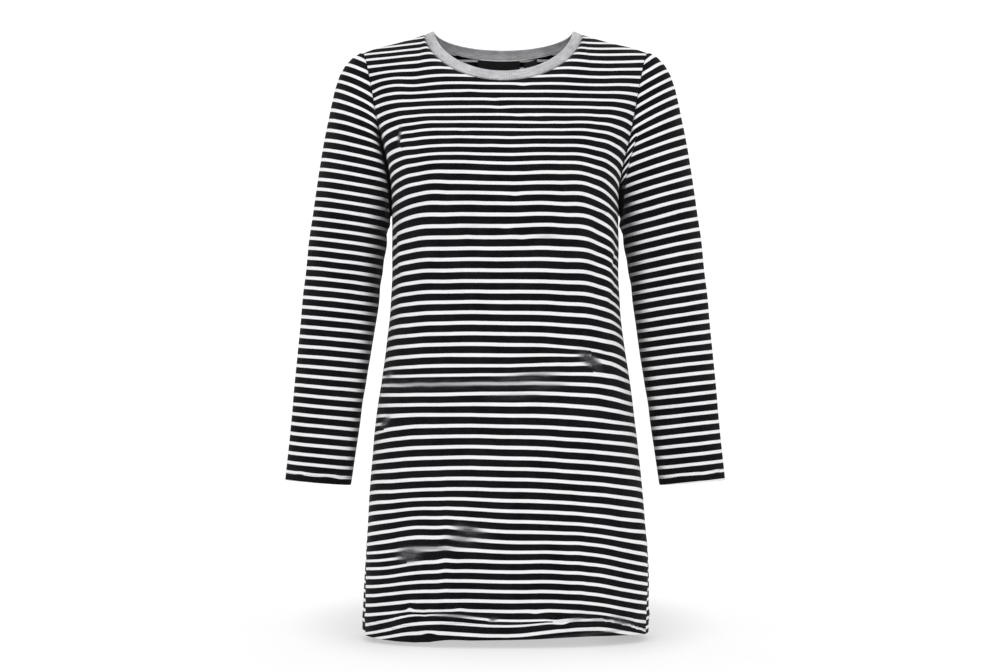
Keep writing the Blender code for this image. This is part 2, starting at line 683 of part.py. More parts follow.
def main():
    """Build the dress."""
    for old in list(bpy.data.objects):
        bpy.data.objects.remove(old)
    collection = bpy.data.collections.new("t_shirt_dress")
    bpy.context.scene.collection.children.link(collection)
    jersey = cloth_material("jersey", (0.030, 0.030, 0.034), 0.85)
    rib = cloth_material("grey_marl_rib", (0.56, 0.56, 0.58), 0.85)
    woven = cloth_material("black_satin_label", (0.015, 0.015, 0.016), 0.45)

    front = panel_grid(-1.0)
    back = panel_grid(1.0)
    sleeve = sleeve_grid(front, back)
    band = band_grid(front, back)
    mirror = np.array([-1.0, 1.0, 1.0])

    normals = shared_normals(surfaces_of(front, back, sleeve, band))
    front = front + normals[0] * body_fold_map(front, -1.0)[:, :, None]
    back = back + normals[1] * body_fold_map(back, 1.0)[:, :, None]
    sleeve = sleeve + normals[2] * sleeve_fold_map(sleeve)[:, :, None]
    for grid, side in ((front, -1.0), (back, 1.0)):
        wave_hem(grid, side)
    normals = shared_normals(surfaces_of(front, back, sleeve, band))

    body_wall = thickness_rows(len(front), HEM_SHARES.index(1.0), True)
    cuff_wall = thickness_rows(len(sleeve), CUFF_RINGS, False)
    band_wall = np.full(len(band), BAND_WALL)
    cloth("front_panel", front, normals[0], body_wall, False, jersey, collection)
    cloth("back_panel", back, normals[1], body_wall, False, jersey, collection)
    cloth("sleeve_left", sleeve, normals[2], cuff_wall, True, jersey, collection)
    cloth("sleeve_right", sleeve * mirror, normals[2] * mirror, cuff_wall, True, jersey, collection)
    cloth("neck_band", band, normals[3], band_wall, True, rib, collection)
    for name, make in (("neck_label", neck_label), ("size_tab", size_tab)):
        grid, aims = make(back, normals[1])
        cloth(name, grid, aims, np.full(len(grid), LABEL_WALL), False, woven, collection)


main()
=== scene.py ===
"""Looks of a long-sleeved striped jersey dress with a grey marl neck band.

Every piece that is cut and sewn is made again as a fine shell of cloth on the form of its solid: front, back,
sleeves, band, label and size tab. The shells have turned seams, folded hems, soft creases and rows of
stitches, and carry their stripes and their knit with them as attributes of the cloth.
Units are metres, +Z is up, the front faces -Y and the wearer's left is +X.
"""

import logging
import math
from collections.abc import Iterator
from dataclasses import dataclass, field
from enum import Enum
from typing import NamedTuple

import bpy
import numpy as np
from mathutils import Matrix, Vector

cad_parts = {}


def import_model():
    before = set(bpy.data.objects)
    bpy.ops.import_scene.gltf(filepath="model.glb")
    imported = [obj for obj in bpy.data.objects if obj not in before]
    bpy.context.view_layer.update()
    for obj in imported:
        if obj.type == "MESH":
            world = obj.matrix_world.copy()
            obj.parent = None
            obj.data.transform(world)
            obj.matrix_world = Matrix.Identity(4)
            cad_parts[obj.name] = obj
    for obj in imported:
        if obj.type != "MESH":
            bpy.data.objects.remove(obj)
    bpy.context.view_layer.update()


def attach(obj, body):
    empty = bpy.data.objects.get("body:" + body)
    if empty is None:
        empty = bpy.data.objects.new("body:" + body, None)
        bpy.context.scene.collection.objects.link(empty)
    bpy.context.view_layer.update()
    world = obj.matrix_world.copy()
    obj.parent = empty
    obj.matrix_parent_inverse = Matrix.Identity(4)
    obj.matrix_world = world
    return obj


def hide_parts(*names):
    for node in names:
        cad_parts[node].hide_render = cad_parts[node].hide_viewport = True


LOG = logging.getLogger("dress")
BODY = "root"
MM = 0.001
QUARTER = 0.5 * math.pi  # a quarter turn

Points = np.ndarray  # places or directions: its last axis has X, Y and Z
Values = np.ndarray  # a number for each point
Color = tuple[float, float, float]
Pair = tuple[float, float]
Material = bpy.types.Material
Mesh = bpy.types.Mesh
Piece = bpy.types.Object
Socket = bpy.types.NodeSocket
Sockets = bpy.types.bpy_prop_collection

# The cloth's own thickness, and the gaps that the sewing leaves
WALL = 0.0010
TURN_UP_WALL = 0.0022
BAND_WALL = 0.0020
LABEL_WALL = 0.0006
LAY_GAP = 0.0003
SEAM_START = 0.0013  # where a label leaves the turned edge of the seam that holds it

HEM = -0.857
UNDERARM = -0.262
HEM_TURN_UP = 0.025
CUFF_TURN_UP = 0.018
HEM_STITCHES = (HEM_TURN_UP - 0.0020, HEM_TURN_UP - 0.0075)  # heights of the two rows over the fold
CUFF_STITCHES = (CUFF_TURN_UP - 0.0020, CUFF_TURN_UP - 0.0070)
BODY_RADIUS = 0.160  # mean radii, that turn degrees round the body or an arm into distances
ARM_RADIUS = 0.045
NECK_SHIFT = -0.0025  # the neckline sits a little to the wearer's right
NECK_SHARE = 9 / 16   # the part of a panel's top edge that is neckline; the rest is shoulder seam


# ---------------- curves and tables

def smooth(places: list[float], values: list[float], wanted: Values) -> Values:
    """Read a smooth curve through a table's points.

    Args:
        places: Where the table's points lie, in any order.
        values: The curve's value at each of them.
        wanted: The places to read it at.

    Returns:
        The curve's values there, level past the table's ends.
    """
    order = np.argsort(places)
    places = np.asarray(places, dtype=float)[order]
    values = np.asarray(values, dtype=float)[order]
    slopes = np.gradient(values, places)
    wanted = np.clip(wanted, places[0], places[-1])
    cell = np.clip(np.searchsorted(places, wanted) - 1, 0, len(places) - 2)
    span = places[cell + 1] - places[cell]
    share = (wanted - places[cell]) / span
    low = values[cell] + share * span * slopes[cell]
    high = values[cell + 1] - (1.0 - share) * span * slopes[cell + 1]
    return low + (high - low) * share * share * (3.0 - 2.0 * share)


def table(kind: type, *rows: tuple[float, ...]) -> tuple:
    """Turn rows of numbers into records.

    Args:
        kind: The records' class. The columns that it doesn't name as PLAIN are lengths.
        rows: The rows, their lengths in millimetres.

    Returns:
        The records, their lengths in metres.
    """
    units = [1.0 if name in getattr(kind, "PLAIN", ()) else 1000.0 for name in kind._fields]
    return tuple(kind(*(value / unit for value, unit in zip(row, units))) for row in rows)


def column(rows: tuple, name: str) -> list[float]:
    """Return one named column of a table."""
    return [getattr(row, name) for row in rows]


def read(rows: tuple, name: str, heights: Values) -> Values:
    """Return a column of a table at the given heights, straight between its rows."""
    rows = sorted(rows)
    return np.interp(heights, column(rows, "height"), column(rows, name))


def step(low: float, high: float, value: Values) -> Values:
    """Go softly from 0 at low to 1 at high."""
    share = np.clip((value - low) / (high - low), 0.0, 1.0)
    return share * share * (3.0 - 2.0 * share)


def degrees_off(turns: Values, middle: Values) -> Values:
    """Return how far angles lie from a middle one, from -180 to 180 degrees."""
    return (turns - middle + 180.0) % 360.0 - 180.0


def signed_power(value: Values, power: float) -> Values:
    """Return a power of a value's size, with the value's sign."""
    return np.sign(value) * np.abs(value) ** power


def bezier(start: Points, leave: Points, arrive: Points, end: Points, share: float) -> Points:
    """Return the point of a cubic curve at a share of its way."""
    rest = 1.0 - share
    return (rest ** 3 * start + 3.0 * rest ** 2 * share * leave
            + 3.0 * rest * share ** 2 * arrive + share ** 3 * end)


def unit(vectors: Points) -> Points:
    """Return vectors of length one."""
    return vectors / np.linalg.norm(vectors, axis=-1, keepdims=True)


def walked(points: Points, axis: int = 0) -> Values:
    """Return how far each point of a line or grid is from its first one, along an axis of it."""
    steps = np.linalg.norm(np.diff(points, axis=axis), axis=-1)
    return np.cumsum(np.concatenate([0.0 * np.take(steps, [0], axis=axis), steps], axis=axis), axis=axis)


def read_line(spots: Values, distances: Values, line: Points) -> Points:
    """Return the points, or directions, that a line has at the given distances."""
    return np.stack([np.interp(spots, distances, values) for values in line.T], axis=-1)


# ---------------- the form, as the solids have it

class Side(Enum):
    """A panel of the body, by the way it faces along Y."""

    FRONT = -1.0
    BACK = 1.0


class Hand(Enum):
    """A sleeve, by its side of the wearer along X."""

    LEFT = 1.0
    RIGHT = -1.0


class BodySection(NamedTuple):
    """A level ring of the body, by its height."""

    height: float
    half_width: float  # to the side seam, or to the armhole seam above the underarm
    sway: float        # how far the ring's middle lies towards +X
    front: float       # depth of the centre front
    back: float        # depth of the centre back


BODY_SECTIONS = table(
    BodySection,
    (-857, 204.5, 0.3, 119, 112), (-819, 203.8, 1, 118, 112.5), (-759, 202, 2.4, 116.5, 113),
    (-699, 197.7, 1.9, 115, 113), (-654, 194.6, 1.3, 113.7, 112.5), (-609, 190.4, 0.8, 112.2, 111),
    (-552, 184.5, 0.2, 110.5, 108), (-486, 175.3, 0.8, 108.5, 101), (-441, 169, 0.2, 108.3, 96),
    (-380, 163.2, 0.2, 110.5, 92), (-314, 161.6, 0, 116.5, 94.5), (-262, 161.7, 0, 119.8, 98),
    (-240, 161.9, 0, 119.7, 99.8), (-216, 163.4, 0, 117.8, 101.5), (-190, 167.6, 0, 113, 102.5),
    (-150, 177, 0, 101.5, 102), (-110, 183.5, 0, 86, 98),
)


class ShoulderPoint(NamedTuple):
    """A point of the shoulder seam."""

    across: float
    height: float


SHOULDER = table(
    ShoulderPoint,
    (113.5, -5), (136.7, -12), (160, -18.2), (184, -24), (203.5, -30.8),
)


class SleeveSection(NamedTuple):
    """A ring of the sleeve, by its two ends in the front view and its depth."""

    outer: float  # across, at the outside of the arm
    outer_height: float
    inner: float  # across, at the underarm seam
    inner_height: float
    middle: float  # how far forward (-Y) the ring's middle lies
    half_depth: float


SLEEVE_SECTIONS = table(
    SleeveSection,
    (203.5, -30.8, 161.7, -262, 0, 47), (212.5, -33.8, 163.8, -262.5, 0, 48.4),
    (223.5, -43, 165.2, -263.8, 0, 49.2), (233, -56.5, 166.1, -265.8, 0.1, 49.5),
    (240, -73, 166.6, -268.4, 0.3, 49.2), (246, -95, 166.9, -271.5, 0.6, 48.6),
    (252, -124, 167.1, -275.3, 1, 47.6), (258.5, -156, 167.4, -280.2, 1.5, 46.4),
    (264, -189, 167.9, -287, 2, 45), (269.3, -224, 169, -298, 2.6, 43.7),
    (274.5, -262, 171.8, -317, 3.4, 42.5), (279.7, -304, 176.7, -346, 4.4, 41.2),
    (284.5, -345, 181.5, -378, 5.6, 39.8), (288.8, -386, 186, -413, 7, 38.2),
    (292.8, -427, 190.3, -449, 8.4, 36.2), (296.8, -468, 195.7, -486, 9.8, 33.8),
    (300.8, -509, 201.5, -524, 11.2, 31), (304.7, -550, 207, -562, 12.6, 28),
    (308.2, -590, 212.5, -599, 14, 25), (311.2, -620, 216.6, -627.5, 15, 22.5),
    (313.2, -640, 219.5, -647, 15.6, 20.5),
)
CAP_FADE = (1.0, 0.82, 0.62, 0.44, 0.28, 0.15, 0.06, 0.0)  # how much of the armhole's shape each ring keeps


class Fold(NamedTuple):
    """A soft ridge (or trough, with a negative rise) that runs down the body."""

    top_turn: float  # degrees round the body, 0 at centre front, 90 at the wearer's left side
    top: float       # height where it starts
    bottom_turn: float
    bottom: float  # height where it ends
    width: float   # degrees
    rise: float

    PLAIN = ("top_turn", "bottom_turn", "width")


BODY_FOLDS = table(
    Fold,
    (-20, -660, -23, -900, 7, 4.2), (22, -650, 26, -900, 7.5, 4.6), (-44, -600, -50, -910, 12, -4),
    (47, -580, 52, -910, 12, -4.2), (-72, -520, -70, -930, 9, 2.6), (72, -540, 70, -930, 9, 3),
    (66, -215, 60, -440, 7.5, 3.4), (52, -240, 49, -420, 8, -2.6), (-66, -260, -61, -420, 7.5, 3),
    (-53, -255, -50, -400, 8, -2.2), (128, -330, 132, -960, 11, 5.2), (151, -400, 153, -980, 10, -5.6),
    (172, -300, 170, -960, 10, 6), (193, -420, 196, -980, 10, -5.4), (216, -330, 214, -970, 11, 5.2),
    (114, -210, 120, -460, 8, 3.4), (246, -210, 240, -470, 8, 3.4), (152, -90, 138, -340, 9, -3.2),
    (208, -90, 222, -340, 9, -3.2),
)


class SleeveFold(NamedTuple):
    """A soft trough or ridge across a sleeve, given by its middle on the opened-out sleeve."""

    turn: float   # share of the way round from the underarm seam, 0.25 at the front
    along: float  # share of the way from the armhole to the cuff
    reach: float  # share of the way round that it spans
    width: float  # share of the sleeve's length
    slant: float  # how far along it moves for each full turn
    rise: float

    PLAIN = ("turn", "along", "reach", "width", "slant")


SLEEVE_FOLDS = table(
    SleeveFold,
    (0.12, 0.42, 0.16, 0.03, 0.35, -2.8), (0.1, 0.55, 0.2, 0.028, 0.25, -2.6),
    (0.3, 0.68, 0.2, 0.026, -0.2, 1.8), (0.88, 0.46, 0.18, 0.03, -0.35, -3),
    (0.9, 0.6, 0.18, 0.028, -0.25, -2.8), (0.62, 0.57, 0.16, 0.03, 0.2, 2),
    (0.2, 0.84, 0.24, 0.024, 0.15, -1.8), (0.72, 0.8, 0.22, 0.024, -0.18, -1.8),
)


class HemPoint(NamedTuple):
    """How far the hem hangs below its level, by the degrees round the body."""

    turn: float
    drop: float

    PLAIN = ("turn",)


HEM_WAVE = table(
    HemPoint,
    (-90, 0.5), (-66, 2), (-52, 3.6), (-38, 4), (-30, 3.6), (-24, 0.4), (-10, -0.8), (8, -2.4), (27, -4.8),
    (42, -4), (60, -2.2), (74, -0.5), (90, 0), (130, 2), (165, -1.5), (200, 2), (235, -1), (270, 0.5),
)


# ---------------- creases and stripes

class Crease(NamedTuple):
    """A soft crease in any direction, with what it does to the stripes that cross it."""

    turn: float       # degrees round the body or the arm
    height: float     # height of its middle
    length: float     # half its length
    width: float      # half its width
    slant: float      # degrees up from level as it goes towards the wearer's left
    rise: float       # how far it stands out, or sinks in
    dip: float = 0.0  # how far it drags the stripes down
    # painted shade: the last column greys and blurs the stripes in the crease
    rub: float = 0.0  # how far it greys them

    PLAIN = ("turn", "slant", "rub")


FRONT_CREASES = table(
    Crease,
    (40.5, -469, 18, 7.8, -28, -2.2, 0, 1.5), (39, -456, 30, 7, -14, 1.6), (54, -486, 26, 7, -26, 1.8),
    (-65, -556.2, 13, 5.2, 16, -2.4, 0, 1.6), (-52, -543, 26, 7, 14, 1.6), (-62, -572, 24, 7, 18, 1.4),
    (-34, -502.2, 115, 6, 0.6, -1.3, 0, 0.62), (-70, -489, 18, 5, 4, -1.4, 0, 0.75),
    (9, -491, 34, 6, 8, 1.4, -0.6, 0.62), (3, -519, 30, 4, 2, -1, 0, 0.45),
    (16, -505, 26, 4, 3, -0.8, 0, 0.45), (-12.3, -704.3, 16.5, 6, -24, -2, 0, 1),
    (-16.1, -716, 15, 4.8, -10, -1.2, 0, 0.7), (-28, -729, 40, 3.6, 3, -2.2, 0, 0.6),
    (-41, -740.5, 18, 8, 4, -2, 0, 1.5), (-21.5, -735, 60, 8, 90, 0, -1.3), (26, -760, 80, 10, 90, 0, -0.8),
    (-30, -738, 40, 7, 5, 1.8), (-66.4, -154, 12, 4.2, 60, -1.4, 0, 0.95), (88, -285, 40, 30, 0, 1.8),
    (2, -301, 70, 4, -1, -0.9), (17, -298, 14, 3.6, -2, -1, 0.4, 0.24),
    (24, -296.5, 22, 3, -3, -0.8, -0.8, 0.16), (-12.5, -283, 24, 3.6, 2, -0.9, 0, 0.22),
    (0.5, -285, 5, 3.4, 0, 0.4, 0.9), (6.5, -301, 6, 3.4, 0, 0.4, 0.9), (-16, -296, 5, 3, 0, 0, -0.9),
    (2, -295.5, 8, 3, 0, 0, -0.8), (8, -84, 7, 4, 0, -0.8, 1.4), (-4, -105, 8, 4, 0, -0.6, 1),
    (-2, -116, 9, 4, 0, -0.6, 1.2), (5, -128, 12, 4, -8, 0.6, 0.9), (16, -133, 14, 4, -12, 0.6, 1),
    (-14, -94, 10, 4, 0, 0.6, -0.8), (-20, -150, 10, 4, 0, 0.5, 0.8), (2, -157, 9, 4, 0, 0.5, 0.9),
    (-6, -172, 10, 4, 0, 0.5, -0.7), (9, -205, 8, 4, 0, 0.4, 0.9), (4, -240, 7, 4, 0, 0.5, 1.2),
    (70, -330, 16, 8, 55, -2.2), (64, -385, 20, 9, 48, -2), (-72, -300, 15, 8, -50, -2),
    (-66, -345, 20, 9, -46, -1.8),
)
BACK_CREASES = table(
    Crease,
    (128, -455, 30, 7, 18, -2.6, 0.4, 0.1), (135, -472, 34, 7, 12, 2),
    (-132, -462, 32, 7, -16, -2.6, 0.4, 0.1), (-140, -480, 30, 7, -10, 2),
    (176, -492, 50, 6, 2, -1.8, 0, 0.08), (-170, -512, 42, 6, -4, 1.4), (165, -120, 40, 8, -6, -1.4),
    (-160, -150, 34, 7, 8, 1.2, 0.5), (150, -215, 30, 7, 20, -1.4), (-148, -240, 30, 7, -22, -1.4),
    (112, -330, 20, 8, -44, -2.2), (-114, -345, 20, 8, 42, -2.2), (158, -712, 34, 6, 6, -2, 0, 0.3),
    (-150, -742, 30, 6, -8, -2, 0, 0.35), (178, -795, 28, 5, 4, 1.2, 0.6),
)
HEM_CREASES = table(
    Crease,
    (-38.3, -813.5, 6.5, 6, 30, 1.2, -3), (-31, -819, 6, 4, -30, -1, 1.4),
    (-15.3, -814, 6, 4.5, 30, 1, -1.6), (-17, -822, 30, 2.2, -3, -2.4, 0, 0.7),
    (-16, -827, 30, 3.4, -3, 1.6), (-3.5, -827, 4, 3, 50, -1.2, 1.6, 0.7),
    (-27.5, -848, 4.5, 10, 80, 1.2, -2.4), (-24.5, -852, 4.5, 8, 80, -1.2, 1.4),
    (-56, -838, 20, 3.5, 24, -2, 0, 0.1), (9, -818, 7, 4, 0, 0.8, 1.6), (18.5, -832, 10, 4.5, -20, -2, 3.4),
    (20, -823.5, 16, 2.6, 14, 2.2), (26, -826, 12, 3, 8, -2.6, -1, 0.55),
    (36, -829, 16, 3, -10, -2.4, 1, 0.35), (50, -833, 20, 4.5, -14, -1.8, 0, 0.85),
    (30, -850, 42, 2.8, 4, -1.6, 0, 0.75), (48, -846, 20, 3, 6, 1.2, 0, 0.1),
    (62, -840, 18, 3.5, -8, -1.2, 1.2, 0.15), (104, -838, 24, 3, 5, -1.8, 1, 0.25),
    (128, -834, 20, 3, -8, 1.4, -1), (150, -836, 26, 3, 6, -1.8, 1.2, 0.35),
    (172, -833, 20, 3, -5, 1.2, -1.2), (-165, -838, 24, 3, 8, -1.8, 1.2, 0.3),
    (-140, -835, 20, 3, -6, 1.4, -1), (-116, -837, 22, 3, 4, -1.6, 1.2, 0.2),
)
BODY_CREASES = FRONT_CREASES + BACK_CREASES + HEM_CREASES
SLEEVE_CREASES = table(
    Crease,
    (0, -335, 30, 36, 0, 1.6), (70, -300, 26, 6, 24, -1.4, 0, 0.06), (95, -372, 24, 5, 16, -1.2, 0, 0.05),
    (60, -418, 20, 6, 20, 1.2), (110, -455, 22, 5, -10, -1.2, 0, 0.05), (85, -520, 20, 5, 12, 1),
    (75, -585, 18, 4.5, -8, -1, 0, 0.05), (250, -340, 24, 6, -20, -1.6, 0, 0.06),
    (285, -402, 24, 5.5, -26, -1.6, 0, 0.05), (230, -470, 22, 5, 12, 1.2),
    (270, -545, 20, 5, -10, -1.2, 0, 0.05),
)
OWN_CREASES = {
    Hand.LEFT: table(
        Crease,
        (30, -200, 26, 5, 60, -2.4), (38, -215, 22, 6, 55, 1.6), (34, -248, 12, 3, 20, -1.6, 0, 0.6),
        (0, -279, 16, 13, 0, 4.2), (108, -629, 8, 4, 0, 0.5, 0.9), (70, -633, 10, 4, 0, 0, -0.8),
        (138, -627, 7, 4, 0, 0.4, -0.8), (0, -375, 30, 40, 0, 1.2),
    ),
    Hand.RIGHT: table(
        Crease,
        (0, -385, 30, 50, 0, 3), (0, -274, 16, 13, 0, 2.6), (121, -630, 6, 4, 0, 0.5, -1.1),
        (99, -632, 10, 4, 0, 0, 0.8), (72, -634, 12, 4, 0, 0.5, -0.9), (50, -636, 8, 4, 0, 0, 0.7),
        (26, -205, 20, 4.5, -35, -1.8, 0, 0.25),
    ),
}


class StripeKey(NamedTuple):
    """The count of white stripes down to a height on a centre line."""

    height: float
    count: float

    PLAIN = ("count",)


BODY_COUNT = table(
    StripeKey,
    (5, -9), (-38.5, -4), (-81.6, 0), (-126.6, 4), (-159.2, 7), (-195.7, 10), (-251.7, 14), (-314, 18),
    (-359.2, 21), (-402.6, 24), (-461.8, 28), (-476.4, 29), (-500.9, 31), (-514.4, 32), (-529.9, 33),
    (-545.4, 34), (-604.2, 38), (-662.8, 42), (-720.2, 46), (-775.1, 50), (-815.8, 53), (-829, 54),
    (-835.6, 55), (-849.4, 56), (-870, 57.5),
)


class StripeDip(NamedTuple):
    """How far the stripes hang below their height at the centre front, from the wearer's right."""

    height: float
    right_edge: float  # at the side seam or the armhole seam
    right: float
    mid_right: float
    near_right: float
    near_left: float
    mid_left: float
    left: float
    left_edge: float


DIP_SHARES = (-1.0, -0.8, -0.6, -0.3, 0.0, 0.3, 0.6, 0.8, 1.0)  # where they are, and the centre
FRONT_DIPS = table(
    StripeDip,
    (-10, 4, 2, -1, -4, -4, -2, -5, -6), (-48, 4, 2, 0, -3, -3, -1, -2, -5),
    (-81, 9, 1, 2, -1, 0, 1, -1, -1), (-104, 8, 2, 1, 0, 0, 0, 0, 4), (-126, 14, 5, 1, 0, 0, 0, 2, 10),
    (-140, 19, 7, 1, -1, 0, 0, 5, 14), (-170, 13, 4, 1, -1, -1, 2, 10, 23),
    (-200, 17, 6, 0, -3, -2, 3, 13, 31), (-225, 16, 6, -1, -2, -1, 3, 17, 33),
    (-255, 16, 11, 2, -1, 0, 8, 25, 35), (-285, 17, 11, 3, 0, -1, 9, 25, 33),
    (-345, 12, 8, 2, 0, 1, 7, 20, 27), (-430, 12, 6, 3, 0, 3, 10, 17, 29),
    (-446, 11, 6, 3, 0, 4, 13, 20, 27), (-462, 11, 6, 3, 0, 0, 5, 15, 22),
    (-472, 10, 6, 3, 0, -2, 2, 13, 20), (-488, 6, 4, 3, 1, -1, 3, 9, 14), (-502, 4, 4, 3, 1, 1, 7, 14, 17),
    (-516, 4, 4, 3, 2, 2, 9, 16, 18), (-545, 5, 3, 1, -1, 3, 11, 15, 19),
    (-559, 14, 11, 5, 0, 4, 10, 14, 19), (-605, 13, 9, 5, 0, 5, 12, 17, 22),
    (-648, 13, 8, 5, 0, 5, 13, 19, 26), (-690, 14, 9, 3, -4, 5, 15, 20, 24),
    (-718, 13, 9, 2, -6, 3, 15, 23, 31), (-733, 10, 8, 3, -4, 3, 16, 24, 30),
    (-747, 19, 16, 12, 1, 3, 16, 24, 29), (-790, 16, 13, 8, 0, 3, 16, 23, 28),
    (-816, 16, 13, 8, 1, 2, 15, 23, 27), (-829, 18, 14, 5, -8, 0, 9, 22, 27),
    (-836, 24, 20, 12, -3, -7, 2, 15, 21), (-849, 18, 14, 7, -3, -8, 1, 8, 14),
    (-870, 14, 12, 7, 0, -4, 4, 8, 12),
)


class StripeSlip(NamedTuple):
    """A place where one side of the front has a stripe more, or fewer, than the middle."""

    turn: float  # degrees: it is the side beyond here that differs
    top: float   # the levels between which the stripe is gained or lost
    bottom: float
    gain: float

    PLAIN = ("turn", "gain")


FRONT_SLIPS = table(
    StripeSlip,
    (-66.2, -137.5, -171.4, -1), (41.5, -447, -489, -1), (-64.5, -545, -560, 1), (-42, -733, -747, 1),
    (15.5, -829, -835.6, -1),
)


class StripeSlope(NamedTuple):
    """How a sleeve's stripes run down towards the body."""

    height: float
    slope: float  # degrees
    bend: float   # how much lower they are at both edges than in the middle
    hook: float   # how far they curl down into the armhole seam

    PLAIN = ("slope",)


SLEEVE_COUNTS = {
    Hand.LEFT: table(
        StripeKey,
        (4, -4), (-51.7, 0), (-121.4, 5), (-165, 8), (-194.2, 10), (-337.4, 20), (-476.3, 30), (-617, 40),
        (-674, 44.3),
    ),
    Hand.RIGHT: table(
        StripeKey,
        (2, -4), (-52.8, 0), (-94.5, 3), (-136.8, 6), (-192.5, 10), (-329.7, 20), (-466.7, 30),
        (-604.6, 40), (-674, 45.1),
    ),
}
SLEEVE_SLOPES = {
    Hand.LEFT: table(
        StripeSlope,
        (-60, 29, 1, 0), (-82, 29, 0.6, 0), (-124, 26.5, 0.8, 3), (-166, 20, 0, 6), (-222, 16.6, 0, 3),
        (-281, 13.4, 0.6, 0), (-337, 10.9, 0.6, 0), (-407, 8.6, 0.4, 0), (-476, 6.2, 0.6, 0),
        (-617, 6, 0.6, 0),
    ),
    Hand.RIGHT: table(
        StripeSlope,
        (-55, 22, 0.5, 0), (-96, 24, 1.5, 3), (-135, 17.5, 1.8, 6), (-165, 13.5, 1, 3), (-220, 9.4, 0.3, 2),
        (-330, 6.8, 0.6, 1), (-467, 4.8, 0.6, 0), (-605, 5.4, 0.4, 0),
    ),
}


def crease_field(creases: tuple[Crease, ...], turns: Values, heights: Values, radius: float,
                 name: str) -> Values:
    """Add up what a set of creases does at each point of a sheet.

    Args:
        creases: The creases.
        turns: Degrees round the body or arm at each point.
        heights: Height of each point.
        radius: Turns a degree into a distance on the cloth.
        name: The column to add up: rise, dip or the painted shade of the creases.

    Returns:
        The sum at each point.
    """
    total = np.zeros(np.shape(heights))
    for crease in creases:
        amount = getattr(crease, name)
        if amount == 0.0:
            continue
        across = np.radians(degrees_off(turns, crease.turn)) * radius
        up = heights - crease.height
        lean = math.radians(crease.slant)
        along = across * math.cos(lean) + up * math.sin(lean)
        beside = up * math.cos(lean) - across * math.sin(lean)
        total += amount * np.exp(-(along / crease.length) ** 2 - (beside / crease.width) ** 2)
    return total


@dataclass
class BodyStripes:
    """Counts the stripes of the body at any point of it."""

    mismatch: float = 0.0048      # how far the back's stripes miss the front's at the lower side seams
    mismatch_top: float = -0.600  # where they miss by all of it, and how far above that it begins
    mismatch_fade: float = 0.15
    mismatch_share: float = 0.6  # the part of the back's half width that still has none of it
    neck_raise: float = 0.0045   # how much higher the back's stripes sit than the front's by the neck
    neck_raise_heights: Pair = (-0.200, -0.060)
    back_bend: float = 2.2  # how late on their way to the side seams the back's stripes hang lower
    grid_step: float = 0.001
    share_step: float = 0.04
    front: Values = field(init=False)
    back: Values = field(init=False)
    heights: Values = field(init=False)
    shares: Values = field(init=False)

    def __post_init__(self) -> None:
        """Work out, for the front and the back, which level each height's stripe has at the centre."""
        self.heights = np.arange(-0.900, 0.030, self.grid_step)
        self.shares = np.arange(-1.24, 1.25, self.share_step)
        chart = np.array([[*dips[1:5], 0.0, *dips[5:]] for dips in FRONT_DIPS])
        rows = column(FRONT_DIPS, "height")[::-1]
        by_height = np.stack([np.interp(self.heights, rows, line[::-1]) for line in chart.T], axis=1)
        self.front = self.levels(np.stack([smooth(DIP_SHARES, line, self.shares) for line in by_height]))
        edges = np.where(self.shares < 0.0, by_height[:, :1], by_height[:, -1:])
        self.back = self.levels(edges * np.abs(self.shares) ** self.back_bend)

    def levels(self, dips: Values) -> Values:
        """Return the centre's level for each height and share, from the dips of each level and share."""
        hung = np.maximum.accumulate(self.heights[:, None] - dips, axis=0)
        return np.stack([np.interp(self.heights, line, self.heights) for line in hung.T], axis=1)

    def count(self, side: Side, turns: Values, heights: Values) -> tuple[Values, Values]:
        """Count the stripes at points of a panel.

        Args:
            side: The panel.
            turns: Degrees round the body, 0 at centre front.
            heights: Heights of the points.

        Returns:
            The count at each point, whole in the middle of a white stripe, and what the slips add to it.
        """
        if side is Side.FRONT:
            chart, shares = self.front, turns / 90.0
        else:
            behind = degrees_off(turns, 0.0)
            chart, shares = self.back, np.clip(np.sign(behind) * (180.0 - np.abs(behind)) / 90.0, -1.0, 1.0)
        row = np.clip((heights - self.heights[0]) / self.grid_step, 0.0, len(self.heights) - 1.001)
        col = np.clip((shares - self.shares[0]) / self.share_step, 0.0, len(self.shares) - 1.001)
        low_row, low_col = row.astype(int), col.astype(int)
        row_rest, col_rest = row - low_row, col - low_col
        below, above = (chart[at, low_col] * (1.0 - col_rest) + chart[at, low_col + 1] * col_rest
                        for at in (low_row, low_row + 1))
        level = below * (1.0 - row_rest) + above * row_rest
        level = level + crease_field(BODY_CREASES, turns, heights, BODY_RADIUS, "dip")
        if side is Side.BACK:
            low = 1.0 - step(self.mismatch_top - self.mismatch_fade, self.mismatch_top, heights)
            level = level + self.mismatch * step(self.mismatch_share, 1.0, np.abs(shares)) * low
            level = level - self.neck_raise * step(*self.neck_raise_heights, heights)
        gained = np.zeros(np.shape(level))
        for slip in FRONT_SLIPS if side is Side.FRONT else ():
            row = np.abs(heights[:, 0] - 0.5 * (slip.top + slip.bottom)).argmin()
            cut = np.abs(turns[row] - slip.turn).argmin()
            beyond = (np.arange(turns.shape[1]) - cut + 0.5) * math.copysign(1.0, slip.turn) > 0.0
            gained += slip.gain * beyond * np.clip((slip.top - level) / (slip.top - slip.bottom), 0.0, 1.0)
        return read(BODY_COUNT, "count", level), gained


